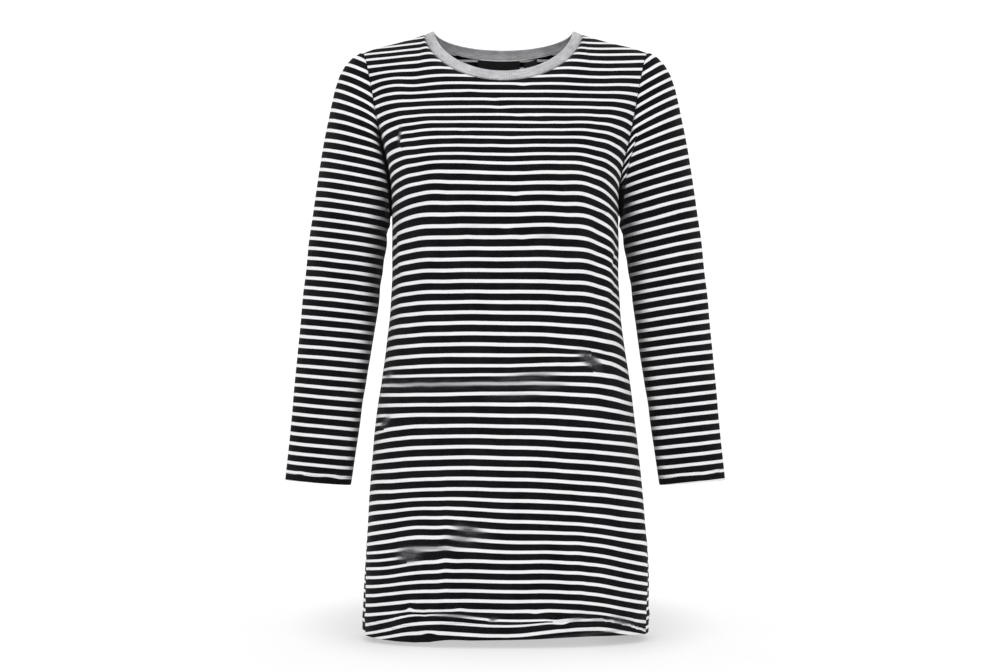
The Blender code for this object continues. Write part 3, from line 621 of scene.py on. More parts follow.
@dataclass
class SleeveStripes:
    """Counts the stripes of one sleeve."""

    hand: Hand
    hook_reach: float = 0.006
    rounds: int = 6  # how often a point's level is worked out afresh from its slope there

    def count(self, inward: Values, half_width: Values, heights: Values, dragged: Values) -> Values:
        """Count the stripes at points of the sleeve.

        Args:
            inward: How far each point lies towards the body from the sleeve's middle.
            half_width: The sleeve's half width at each point's height.
            heights: Heights of the points.
            dragged: How far the stripes are dragged down at each point.

        Returns:
            The count at each point, whole in the middle of a white stripe.
        """
        near_seam = np.exp(-np.maximum(half_width - inward, 0.0) / self.hook_reach)
        level = heights
        for _ in range(self.rounds):
            slope, bend, hook = (read(SLEEVE_SLOPES[self.hand], name, level)
                                 for name in ("slope", "bend", "hook"))
            level = heights + inward * np.tan(np.radians(slope))
            level = level + bend * (inward / half_width) ** 2 + hook * near_seam
        return read(SLEEVE_COUNTS[self.hand], "count", level + dragged)


# ---------------- shapes of the sheets

@dataclass
class Sheet:
    """A piece of cloth as a grid of points on its outer face, with what the cloth carries at each point."""

    name: str
    surface: str          # the tube of cloth that it is part of
    grid: Points          # rows x columns x 3
    facing: float         # 1 or -1: the sign that turns its faces outward
    turns: Values         # degrees round the body or arm
    across: Values        # metres round the unfolded cloth
    closed: bool = False  # the last column lies on the first and is joined to it
    count: Values | None = None
    slip: Values | None = None  # what a face adds to its count, given at its first column
    # the next two hold painted shade: the greying of the stripes in creases, then the darkening in the
    # furrows by the arms and on the sleeves' inner sides
    rub: Values | None = None
    sunk: Values | None = None
    normals: Points | None = None

    def along(self) -> Values:
        """Return each point's distance from the first row, along its column."""
        return walked(self.grid)

    def leave_plain(self) -> None:
        """Give it no stripes, no painted crease shade and no other painted shade."""
        self.count, self.rub, self.sunk = np.zeros((3, *self.grid.shape[:2]))

    def line_at(self, distance: float, from_last: bool) -> tuple[Points, Points]:
        """Return the line across the sheet that runs at a distance from its first or last row.

        Args:
            distance: The distance along the cloth.
            from_last: Measure it from the last row.

        Returns:
            The line's points and outward directions.
        """
        along = self.along()
        if from_last:
            along = along[-1:] - along
        points, aims = [], []
        for place, run in enumerate(along.T):
            order = np.argsort(run)
            points.append(read_line(distance, run[order], self.grid[order, place]))
            aims.append(read_line(distance, run[order], self.normals[order, place]))
        return np.array(points), unit(np.array(aims))


def share_normals(sheets: list[Sheet]) -> None:
    """Give every sheet its outward directions, the same on both sides of a seam.

    Sheets of one surface count together. Where surfaces meet, each has an equal say, so that their walls meet
    in a mitre.

    Args:
        sheets: The sheets, sewn to each other where their points fall together.
    """
    points = np.concatenate([sheet.grid.reshape(-1, 3) for sheet in sheets])
    whole = np.round(points / 1.0e-6).astype(np.int64) + 2 ** 20
    _, place = np.unique(whole @ np.array([2 ** 42, 2 ** 21, 1]), return_inverse=True)
    ends = np.cumsum([sheet.turns.size for sheet in sheets])
    places = np.split(place, ends[:-1])
    total = np.zeros((place.max() + 1, 3))
    for surface in {sheet.surface: None for sheet in sheets}:
        sums = np.zeros_like(total)
        for sheet, where in zip(sheets, places):
            if sheet.surface != surface:
                continue
            grid = sheet.grid
            faces = np.cross(grid[1:, 1:] - grid[:-1, :-1], grid[1:, :-1] - grid[:-1, 1:]) * sheet.facing
            corners = np.zeros_like(grid)
            for rows, columns in ((slice(-1), slice(-1)), (slice(-1), slice(1, None)),
                                  (slice(1, None), slice(1, None)), (slice(1, None), slice(-1))):
                corners[rows, columns] += faces
            np.add.at(sums, where, corners.reshape(-1, 3))
        size = np.linalg.norm(sums, axis=1)
        found = size > 0.0
        total[found] += sums[found] / size[found, None]
    for sheet, where in zip(sheets, places):
        sheet.normals = unit(total[where]).reshape(sheet.grid.shape)


@dataclass(frozen=True)
class Tuck:
    """The deep furrow in which a sleeve meets the body, below the middle of the armhole, with shade painted
    into it.
    """

    start: float  # the seam's height where it starts, and where it has all its depth
    full: float
    sleeve_dark: float         # how far its painted shade goes over the sleeve
    body_dark: float = 0.0020  # and over the body
    depth: float = 0.016
    run_out: float = 0.016  # how far above the underarm it begins to run out
    body_reach: float = 0.0050
    sleeve_reach: float = 0.0080
    softness: float = 0.0028

    def deep(self, seam_heights: Values) -> Values:
        """Return the share of its depth that the furrow has beside each height of the seam."""
        return 1.0 - step(self.full, self.start, seam_heights)

    def push(self, seam_heights: Values, distance: Values, reach: float) -> Values:
        """Return how far points are drawn in, by the seam's height beside them and the distance to it."""
        runs_out = step(UNDERARM, UNDERARM + self.run_out, seam_heights)
        return self.depth * self.deep(seam_heights) * runs_out * np.exp(-(distance / reach) ** 2)

    def furrow_shade(self, seam_heights: Values, distance: Values, reach: float) -> Values:
        """Return how dark the furrow's painted shade is at points beside it."""
        return self.deep(seam_heights) * (1.0 - step(reach - self.softness, reach + self.softness, distance))


TUCKS = {Hand.LEFT: Tuck(-0.204, -0.226, 0.0100), Hand.RIGHT: Tuck(-0.128, -0.158, 0.0062)}


@dataclass(frozen=True)
class Pinch:
    """A fold of a sleeve's cap that runs beside the armhole seam, breaks the stripes and greys them with
    painted shade.
    """

    top: float = -0.146  # heights of the seam between which it runs
    bottom: float = -0.226
    top_distance: float = 0.0105  # its distance from the seam there
    bottom_distance: float = 0.0075
    top_fade: Pair = (0.010, -0.014)  # how it fades beyond its ends
    bottom_fade: Pair = (-0.006, 0.014)
    width: float = 0.0011
    sharpness: float = 0.4  # the part of its width in which the stripes break
    sink: float = 0.0016
    jump: float = 0.0042  # how much higher the stripes lie on its near side
    hang: float = 0.0030  # how much lower they lie at the seam
    # how far painted shade greys the stripes in the fold
    grey: float = 0.50

    def line(self, seam_heights: Values) -> Values:
        """Return its distance from the seam beside each height of the seam."""
        share = (seam_heights - self.bottom) / (self.top - self.bottom)
        return self.bottom_distance + (self.top_distance - self.bottom_distance) * np.clip(share, 0.0, 1.0)

    def strength(self, seam_heights: Values) -> Values:
        """Return how strong it is beside each height of the seam."""
        starts = step(self.bottom + self.bottom_fade[0], self.bottom + self.bottom_fade[1], seam_heights)
        return starts * step(self.top + self.top_fade[0], self.top + self.top_fade[1], seam_heights)

    def mark(self, seam_heights: Values, distance: Values) -> Values:
        """Return 1 in the fold and 0 away from it."""
        away = (distance - self.line(seam_heights)) / self.width
        return self.strength(seam_heights) * np.exp(-away ** 2)

    def drag(self, seam_heights: Values, distance: Values) -> Values:
        """Say what it does to the stripes.

        Args:
            seam_heights: The height of the seam beside each point.
            distance: The distance to the seam.

        Returns:
            How far the stripes are dragged down between the fold and the seam.
        """
        line = self.line(seam_heights)
        soft = self.sharpness * self.width
        near = 1.0 - step(line - soft, line + soft, distance)
        share = np.clip(distance / line, 0.0, 1.0)
        return self.strength(seam_heights) * near * (self.hang - (self.hang + self.jump) * share)


@dataclass
class Neckline:
    """The neck opening, at the seam that joins the band to the panels."""

    half_width: float = 0.1135
    point_height: float = -0.005
    depths: dict[Side, float] = field(default_factory=lambda: {Side.FRONT: 0.072, Side.BACK: 0.066})
    heights: dict[Side, float] = field(default_factory=lambda: {Side.FRONT: -0.0764, Side.BACK: -0.0337})
    leans: dict[Side, float] = field(default_factory=lambda: {Side.FRONT: 38.0, Side.BACK: 24.0})
    rounding: float = 0.14
    corner: int = 8  # how closely the armhole's flare keeps to the top edge's ends

    def fall(self, turn: Values) -> Values:
        """Return the share of its drop that the line has reached, turn radians from the centre."""
        whole = math.hypot(1.0, self.rounding) - self.rounding
        return (np.hypot(np.cos(turn), self.rounding) - self.rounding) / whole

    def ring_points(self, turn: Values, side: Side) -> Points:
        """Return points of the ring, turn radians from the centre on the given side."""
        height = self.point_height + (self.heights[side] - self.point_height) * self.fall(turn)
        return np.stack([self.half_width * np.sin(turn) + NECK_SHIFT,
                         side.value * self.depths[side] * np.cos(turn), height], axis=1)

    def panel_edge(self, side: Side, shares: Values) -> Points:
        """Return a panel's top edge: a shoulder seam, the neckline, the other shoulder seam.

        Args:
            side: The panel.
            shares: How far across each column of it is, -1 to 1.

        Returns:
            The top of each column.
        """
        points = self.ring_points(QUARTER * np.clip(shares / NECK_SHARE, -1.0, 1.0), side)
        out = np.clip((np.abs(shares) - NECK_SHARE) / (1.0 - NECK_SHARE), 0.0, 1.0)
        across = SHOULDER[0].across + (SHOULDER[-1].across - SHOULDER[0].across) * out
        rise = smooth(column(SHOULDER, "across"), column(SHOULDER, "height"), across)
        seam = np.stack([np.sign(shares) * across + NECK_SHIFT * (1.0 - out), 0.0 * rise, rise], axis=1)
        return np.where((np.abs(shares) > NECK_SHARE)[:, None], seam, points)

    def arrival(self, side: Side, shares: Values, flare: float) -> Points:
        """Say how a panel meets its top edge.

        Args:
            side: The panel.
            shares: How far across each column of it is, -1 to 1.
            flare: How far the armholes' edges lean outward.

        Returns:
            The direction in which each column arrives.
        """
        lean = np.sin(step(0.0, NECK_SHARE, np.abs(shares)) * QUARTER) ** 2
        start = math.radians(self.leans[side])
        lean = start + (QUARTER - start) * lean
        out = flare * np.sign(shares) * np.abs(shares) ** self.corner
        return np.stack([out, -side.value * np.sin(lean), np.cos(lean)], axis=1)


@dataclass
class BodyShape:
    """The form of the front and the back."""

    neckline: Neckline = field(default_factory=Neckline)
    chest: float = -0.150
    squareness: float = 2.3
    armhole_half_depth: float = 0.047
    armhole_flare: float = 0.2
    chest_step: float = 0.010
    round_handle: float = 0.55
    seam_shift_top: float = -0.600  # below here the side seams swing to the front
    seam_turn_at_hem: float = 74.0
    side_columns: int = 96
    hem_rows: int = 16
    hem_rows_reach: float = 1.45  # how many turn-ups the close rows at the hem go up
    skirt_rows: int = 124
    armhole_low_rows: int = 36
    armhole_high_rows: int = 42
    fold_softness: float = 1.3
    fold_free_edge: float = 0.70  # the part of the half width that folds by the armhole may use
    armhole_fade: Pair = (-0.070, -0.010)  # the heights over the underarm where that begins
    unfolded_rows: int = 6    # the top rows, that no fold reaches
    hem_puff: float = 0.0016  # how far the cloth swells over the top of the turn-up
    hem_puff_width: float = 0.007
    hem_puff_mean: float = 0.6
    hem_puff_swing: float = 0.4
    hem_puff_waves: int = 9
    hem_wave_reach: float = 0.080

    def at(self, name: str, height: float) -> float:
        """Read one measure of the body at a height."""
        return float(smooth(column(BODY_SECTIONS, "height"), column(BODY_SECTIONS, name), height))

    def seam_turn(self, height: float) -> float:
        """Return the degrees round the body at which the side seams lie."""
        return 90.0 + (self.seam_turn_at_hem - 90.0) * float(step(self.seam_shift_top, HEM, height))

    def skirt_ring(self, height: float, turns: Values) -> Points:
        """Return points of a level ring below the underarm.

        Args:
            height: The ring's height.
            turns: Degrees from the centre front, for each point.

        Returns:
            The points.
        """
        power = 2.0 / self.squareness
        angle = np.radians(turns)
        forward = np.cos(angle)
        depth = np.where(forward >= 0.0, -self.at("front", height), self.at("back", height))
        across = self.at("half_width", height) * signed_power(np.sin(angle), power)
        along = depth * np.abs(forward) ** power
        along[np.abs(forward) < 1.0e-9] = 0.0
        return np.stack([across + self.at("sway", height), along, np.full_like(across, height)], axis=1)

    def chest_row(self, height: float, edge_depth: float, side: Side, shares: Values) -> Points:
        """Return a level row between the armholes, cut out of a ring that is wider than the row.

        Args:
            height: The row's height.
            edge_depth: How far from the shoulder seam's plane its ends lie.
            side: The panel.
            shares: How far across each point is, -1 to 1.

        Returns:
            The row's points.
        """
        depth = self.at(side.name.lower(), height)
        cut = (1.0 - (edge_depth / depth) ** self.squareness) ** (1.0 / self.squareness)
        ring = self.at("half_width", height) / cut
        angles = np.abs(shares) * math.asin(min(1.0, cut ** (self.squareness / 2.0)))
        power = 2.0 / self.squareness
        across = np.sign(shares) * ring * np.sin(angles) ** power
        along = side.value * depth * np.maximum(np.cos(angles), 0.0) ** power
        return np.stack([across + self.at("sway", height), along, np.full_like(across, height)], axis=1)

    def panel(self, side: Side) -> Sheet:
        """Lay out the front or the back.

        Args:
            side: Which of them.

        Returns:
            The plain sheet, rows from the hem up.
        """
        shares = np.linspace(-1.0, 1.0, 2 * self.side_columns + 1)
        hem_top = HEM + self.hem_rows_reach * HEM_TURN_UP
        heights = [*np.linspace(HEM, hem_top, self.hem_rows, endpoint=False),
                   *np.linspace(hem_top, UNDERARM, self.skirt_rows)]
        rows = []
        turns = []
        for height in heights:
            seam = self.seam_turn(height)
            turns.append(shares * seam if side is Side.FRONT else 180.0 - shares * (180.0 - seam))
            rows.append(self.skirt_ring(height, turns[-1]))
        for index in range(1, self.armhole_low_rows + 1):
            turn = QUARTER * index / self.armhole_low_rows
            height = self.chest - (self.chest - UNDERARM) * math.cos(turn)
            rows.append(self.chest_row(height, self.armhole_half_depth * math.sin(turn), side, shares))
        chest = rows[-1]
        above = self.chest_row(self.chest + self.chest_step, self.armhole_half_depth, side, shares)
        top = self.neckline.panel_edge(side, shares)
        arrive = self.neckline.arrival(side, shares, self.armhole_flare)
        leave = chest + self.round_handle * (top - chest)[:, 2:3] * (above - chest) / self.chest_step
        back_off = np.abs(top - chest)[:, 1:2] / np.abs(arrive[:, 1:2])
        arrive = top - self.round_handle * back_off * arrive
        for index in range(1, self.armhole_high_rows + 1):
            rows.append(bezier(chest, leave, arrive, top, index / self.armhole_high_rows))
        level = shares * 90.0 if side is Side.FRONT else 180.0 - shares * 90.0
        turns = np.array(turns + [level] * (self.armhole_low_rows + self.armhole_high_rows))
        return Sheet(f"{side.name.lower()}_cloth", "body", np.array(rows), -side.value, turns,
                     np.radians(turns) * BODY_RADIUS)

    def pushes(self, sheet: Sheet) -> Values:
        """Add up a panel's folds and creases.

        Args:
            sheet: The panel.

        Returns:
            How far they push each point out.
        """
        rows, columns = sheet.grid.shape[:2]
        heights = sheet.grid[:, :, 2]
        push = np.zeros((rows, columns))
        for fold in BODY_FOLDS:
            down = np.clip((fold.top - heights) / (fold.top - fold.bottom), 0.0, 1.0)
            middle = fold.top_turn + (fold.bottom_turn - fold.top_turn) * down
            away = degrees_off(sheet.turns, middle)
            ridge = np.exp(-(away / fold.width) ** 2)
            push += fold.rise * ridge * np.sin(math.pi * down) ** self.fold_softness
        push += crease_field(BODY_CREASES, sheet.turns, heights, BODY_RADIUS, "rise")
        at_armhole = step(*(UNDERARM + fade for fade in self.armhole_fade), heights)
        push *= 1.0 - at_armhole * step(self.fold_free_edge, 1.0, np.abs(np.linspace(-1.0, 1.0, columns)))
        from_top_of_turn_up = (heights - HEM - HEM_TURN_UP) / self.hem_puff_width
        swell = np.sin(np.radians(sheet.turns * self.hem_puff_waves))
        swell = self.hem_puff_mean + self.hem_puff_swing * swell
        push += self.hem_puff * swell * np.exp(-from_top_of_turn_up ** 2)
        last_row = rows - 1
        fade = step(last_row - self.armhole_high_rows, last_row - self.unfolded_rows, np.arange(rows))
        return push * (1.0 - fade)[:, None]

    def fold(self, sheet: Sheet) -> None:
        """Fold and crease a panel, sink it beside the arms with painted shade in the furrows there, and let
        its hem hang a little unevenly.

        Args:
            sheet: The panel.
        """
        push = self.pushes(sheet)
        heights = sheet.grid[:, :, 2]
        from_first = walked(sheet.grid, axis=1)
        seam_heights = np.broadcast_to(heights[:, :1], heights.shape)
        beside_arm = heights > UNDERARM
        drawn_in, sheet.sunk = np.zeros((2, *heights.shape))
        for hand, distance in ((Hand.RIGHT, from_first), (Hand.LEFT, from_first[:, -1:] - from_first)):
            tuck = TUCKS[hand]
            drawn_in += tuck.push(seam_heights, distance, tuck.body_reach) * beside_arm
            # painted shade in the furrows beside the arms
            sheet.sunk += tuck.furrow_shade(seam_heights, distance, tuck.body_dark) * beside_arm
        sheet.grid = sheet.grid + sheet.normals * push[:, :, None]
        sheet.grid[:, :, 1] += drawn_in * sheet.facing
        turns = (sheet.turns + 90.0) % 360.0 - 90.0
        drop = smooth(column(HEM_WAVE, "turn"), column(HEM_WAVE, "drop"), turns)
        fade = 1.0 - step(HEM, HEM + self.hem_wave_reach, sheet.grid[:, :, 2])
        sheet.grid[:, :, 2] -= fade * drop

    def stripe(self, sheet: Sheet, side: Side, stripes: BodyStripes) -> None:
        """Count the stripes over a panel and say where creases grey them with painted shade.

        Args:
            sheet: The panel.
            side: Which of them it is.
            stripes: What counts them.
        """
        heights = sheet.grid[:, :, 2]
        sheet.count, sheet.slip = stripes.count(side, sheet.turns, heights)
        # painted shade: creases grey the stripes
        sheet.rub = crease_field(BODY_CREASES, sheet.turns, heights, BODY_RADIUS, "rub").clip(0.0, 1.0)


@dataclass
class SleeveShape:
    """The form of a sleeve, from its armhole seam to its cuff."""

    squareness: float = 2.15
    rings_per_section: int = 7
    girth: float = 0.300
    least_half_width: float = 0.010
    folds_start: Pair = (0.05, 0.30)  # where down it they begin and are at their full
    creases_start: Pair = (0.05, 0.20)
    seam_ridge: float = 0.0007  # how far the turned seam allowance lifts the cloth beside the armhole
    seam_ridge_at: float = 0.0042
    seam_ridge_width: float = 0.0026
    inner_shade: float = 0.72  # how much painted shade darkens the side towards the body
    inner_full: float = 32.0   # degrees round to which it is so, and beyond which it is not
    inner_none: float = 68.0
    inner_loss: tuple[float, float, float] = (0.24, 13.0, 21.0)  # what the three lose by the cuff
    inner_loss_run: Pair = (0.40, 0.90)
    inner_start: Pair = (0.02, 0.16)
    pinch: Pinch = field(default_factory=Pinch)  # on the wearer's left sleeve, in front

    def ring(self, place: float, count: int) -> Points:
        """Return a plain ring of the wearer's left sleeve, from the underarm seam round by the front.

        Args:
            place: How many sections down the sleeve it lies.
            count: How many points it has.

        Returns:
            The points.
        """
        places = range(len(SLEEVE_SECTIONS))
        size = SleeveSection(*(float(smooth(places, column(SLEEVE_SECTIONS, name), place))
                               for name in SleeveSection._fields))
        turns = np.arange(count) * 2.0 * math.pi / count
        along = signed_power(np.cos(turns), 2.0 / self.squareness)
        forward = signed_power(np.sin(turns), 2.0 / self.squareness)
        across = 0.5 * (size.inner + size.outer) + 0.5 * (size.inner - size.outer) * along
        middle_height = 0.5 * (size.inner_height + size.outer_height)
        height = middle_height + 0.5 * (size.inner_height - size.outer_height) * along
        return np.stack([across, -size.middle - size.half_depth * forward, height], axis=1)

    def sheet(self, hand: Hand, front: Sheet, back: Sheet, first: int) -> Sheet:
        """Return a sleeve as a plain sheet, rings from the armhole to the cuff.

        Args:
            hand: The side it is on.
            front: The front, whose edge is half of the armhole.
            back: The back, whose edge is the rest.
            first: The row of the panels at the underarm.

        Returns:
            The sleeve, its first and last columns together at the underarm seam.
        """
        edge = -1 if hand is Hand.LEFT else 0
        mirror = np.array([hand.value, 1.0, 1.0])
        seam = np.concatenate([front.grid[first:, edge], back.grid[first:, edge][-2:0:-1]]) * mirror
        own_shape = seam - self.ring(0.0, len(seam))
        count = (len(SLEEVE_SECTIONS) - 1) * self.rings_per_section + 1
        places = np.linspace(0.0, len(SLEEVE_SECTIONS) - 1.0, count)
        kept = np.interp(places, range(len(CAP_FADE)), CAP_FADE)
        grid = np.array([self.ring(place, len(seam)) + keep * own_shape for place, keep in zip(places, kept)])
        grid[0] = seam
        grid = np.concatenate([grid, grid[:, :1]], axis=1) * mirror
        turns = np.broadcast_to(np.linspace(0.0, 360.0, grid.shape[1]), grid.shape[:2])
        name = f"{hand.name.lower()}_sleeve_cloth"
        return Sheet(name, name, grid, -hand.value, turns, turns / 360.0 * self.girth)

    def fold(self, sheet: Sheet, hand: Hand) -> None:
        """Fold and crease a sleeve, lift the cloth over the turned armhole seam, and paint shade into its
        armhole furrow and its side towards the body.

        Args:
            sheet: The sleeve.
            hand: The side it is on.
        """
        rings, columns = sheet.grid.shape[:2]
        turn = sheet.turns / 360.0
        along = np.broadcast_to(np.linspace(0.0, 1.0, rings)[:, None], (rings, columns))
        push = np.zeros((rings, columns))
        for fold in SLEEVE_FOLDS:
            round_off = (turn - fold.turn + 0.5) % 1.0 - 0.5
            along_off = along - fold.along - fold.slant * round_off
            push += fold.rise * np.exp(-(round_off / fold.reach) ** 2 - (along_off / fold.width) ** 2)
        push *= step(*self.folds_start, along)
        heights = sheet.grid[:, :, 2]
        creased = crease_field(SLEEVE_CREASES, sheet.turns, heights, ARM_RADIUS, "rise")
        push += creased * step(*self.creases_start, along)
        push += crease_field(OWN_CREASES[hand], sheet.turns, heights, ARM_RADIUS, "rise")
        from_seam = sheet.along()
        ridge = np.exp(-((from_seam - self.seam_ridge_at) / self.seam_ridge_width) ** 2)
        push += self.seam_ridge * ridge * step(0, 1, np.arange(rings))[:, None]
        seam_heights = np.broadcast_to(sheet.grid[:1, :, 2], push.shape)
        tuck = TUCKS[hand]
        drawn_in = tuck.push(seam_heights, from_seam, tuck.sleeve_reach)
        # painted shade: the armhole furrow and the side of the sleeve towards the body are darkened in colour
        furrow = tuck.furrow_shade(seam_heights, from_seam, tuck.sleeve_dark)
        from_inside = np.minimum(sheet.turns, 360.0 - sheet.turns)
        lower = step(*self.inner_loss_run, along)
        lost, full_lost, none_lost = self.inner_loss
        near = 1.0 - step(self.inner_full - full_lost * lower, self.inner_none - none_lost * lower,
                          from_inside)
        shade = (self.inner_shade - lost * lower) * near * step(*self.inner_start, along)
        sheet.sunk = np.maximum(furrow, shade)
        in_front = sheet.turns < 180.0
        if hand is Hand.LEFT:
            push -= self.pinch.sink * self.pinch.mark(seam_heights, from_seam) * in_front
        sheet.grid = sheet.grid + sheet.normals * push[:, :, None]
        sheet.grid[:, :, 1] += drawn_in * np.where(in_front, 1.0, -1.0)

    def stripe(self, sheet: Sheet, hand: Hand) -> None:
        """Count the stripes over a sleeve, by the distance from the line down its middle.

        Args:
            sheet: The sleeve.
            hand: The side it is on.
        """
        heights = sheet.grid[:, :, 2]
        across = np.abs(sheet.grid[:, :, 0])
        outer = np.interp(heights, column(SLEEVE_SECTIONS, "outer_height")[::-1],
                          column(SLEEVE_SECTIONS, "outer")[::-1])
        seam_points = np.abs(sheet.grid[0, :sheet.grid.shape[1] // 2])
        below = [section for section in SLEEVE_SECTIONS if section.inner_height < UNDERARM]
        inner_heights = np.concatenate([-seam_points[::-1, 2], column(below, "inner_height")])
        inners = np.concatenate([seam_points[::-1, 0], column(below, "inner")])
        order = np.argsort(inner_heights)
        inner = np.interp(heights, inner_heights[order], inners[order])
        half_width = np.maximum(0.5 * (outer - inner), self.least_half_width)
        creases = SLEEVE_CREASES + OWN_CREASES[hand]
        # painted shade: creases grey the stripes
        rub = crease_field(creases, sheet.turns, heights, ARM_RADIUS, "rub")
        dragged = crease_field(creases, sheet.turns, heights, ARM_RADIUS, "dip")
        if hand is Hand.LEFT:
            beside = (np.broadcast_to(sheet.grid[:1, :, 2], heights.shape), sheet.along())
            in_front = sheet.turns < 180.0
            dragged += self.pinch.drag(*beside) * in_front
            # painted shade: the pinched fold greys the stripes
            rub += self.pinch.grey * self.pinch.mark(*beside) * in_front
        sheet.count = SleeveStripes(hand).count(0.5 * (outer + inner) - across, half_width, heights, dragged)
        sheet.rub = np.clip(rub, 0.0, 1.0)


@dataclass
class BandShape:
    """The form of the neck band, from the neck seam up to its folded edge."""

    top: Neckline = field(default_factory=lambda: Neckline(
        0.0995, 0.001, {Side.FRONT: 0.0665, Side.BACK: 0.0625}, {Side.FRONT: -0.0622, Side.BACK: -0.0192}))
    crown: float = 0.0012
    rings: int = 14

    def sheet(self, front: Sheet, back: Sheet, side_columns: int) -> Sheet:
        """Lay out the band.

        Args:
            front: The front, whose top edge has half of the neckline.
            back: The back, whose top edge has the rest.
            side_columns: How many columns each has from its centre to its edge.

        Returns:
            The plain sheet, rings from the neck seam to the folded edge.
        """
        neck_columns = round(side_columns * NECK_SHARE)
        first, last = side_columns - neck_columns, side_columns + neck_columns
        seam = np.concatenate([front.grid[-1, first:last], back.grid[-1, last:first - 1:-1]])
        turn = QUARTER * np.arange(-neck_columns, neck_columns + 1) / neck_columns
        top = np.concatenate([self.top.ring_points(turn, Side.FRONT)[:-1],
                              self.top.ring_points(turn, Side.BACK)[::-1]])
        centre = np.array([NECK_SHIFT, 0.0, seam[:, 2].mean()])
        rings = []
        for share in np.linspace(0.0, 1.0, self.rings):
            ring = seam + (top - seam) * share
            outward = unit((ring - centre) * np.array([1.0, 1.0, 0.0]))
            rings.append(ring + outward * self.crown * math.sin(math.pi * share))
        grid = np.array(rings)
        grid[:, -1] = grid[:, 0]
        across = np.broadcast_to(walked(seam), grid.shape[:2])
        turns = across / across[0, -1] * 360.0
        sheet = Sheet("neck_band_cloth", "band", grid, 1.0, turns, across, closed=True)
        sheet.leave_plain()
        return sheet


# ---------------- walls of cloth

class EdgeProfile(NamedTuple):
    """How a wall ends: distances in from the edge with depths below the outer face, in millimetres."""

    outer: tuple[Pair, ...]
    inner: tuple[Pair, ...]


class Edge(Enum):
    """The ways in which an edge of the cloth is finished."""

    SEWN = EdgeProfile(((0.15, 2.2), (0.15, 0.8), (0.45, 0.25), (1.1, 0.0)),
                       ((1.0, 2.2), (1.0, 1.4), (1.15, 1.05), (1.8, 1.0)))
    TURNED = EdgeProfile(((0.0, 0.9), (0.25, 0.45), (0.7, 0.12), (1.3, 0.0)),
                         ((0.0, 1.3), (0.25, 1.75), (0.7, 2.1), (1.3, 2.2)))
    ROLLED = EdgeProfile(((0.0, 0.8), (0.2, 0.38), (0.6, 0.1), (1.2, 0.0)),
                         ((0.0, 1.2), (0.2, 1.62), (0.6, 1.9), (1.2, 2.0)))
    CUT = EdgeProfile(((0.0, 0.26), (0.05, 0.12), (0.16, 0.03), (0.4, 0.0)),
                      ((0.0, 0.34), (0.05, 0.48), (0.16, 0.57), (0.4, 0.6)))


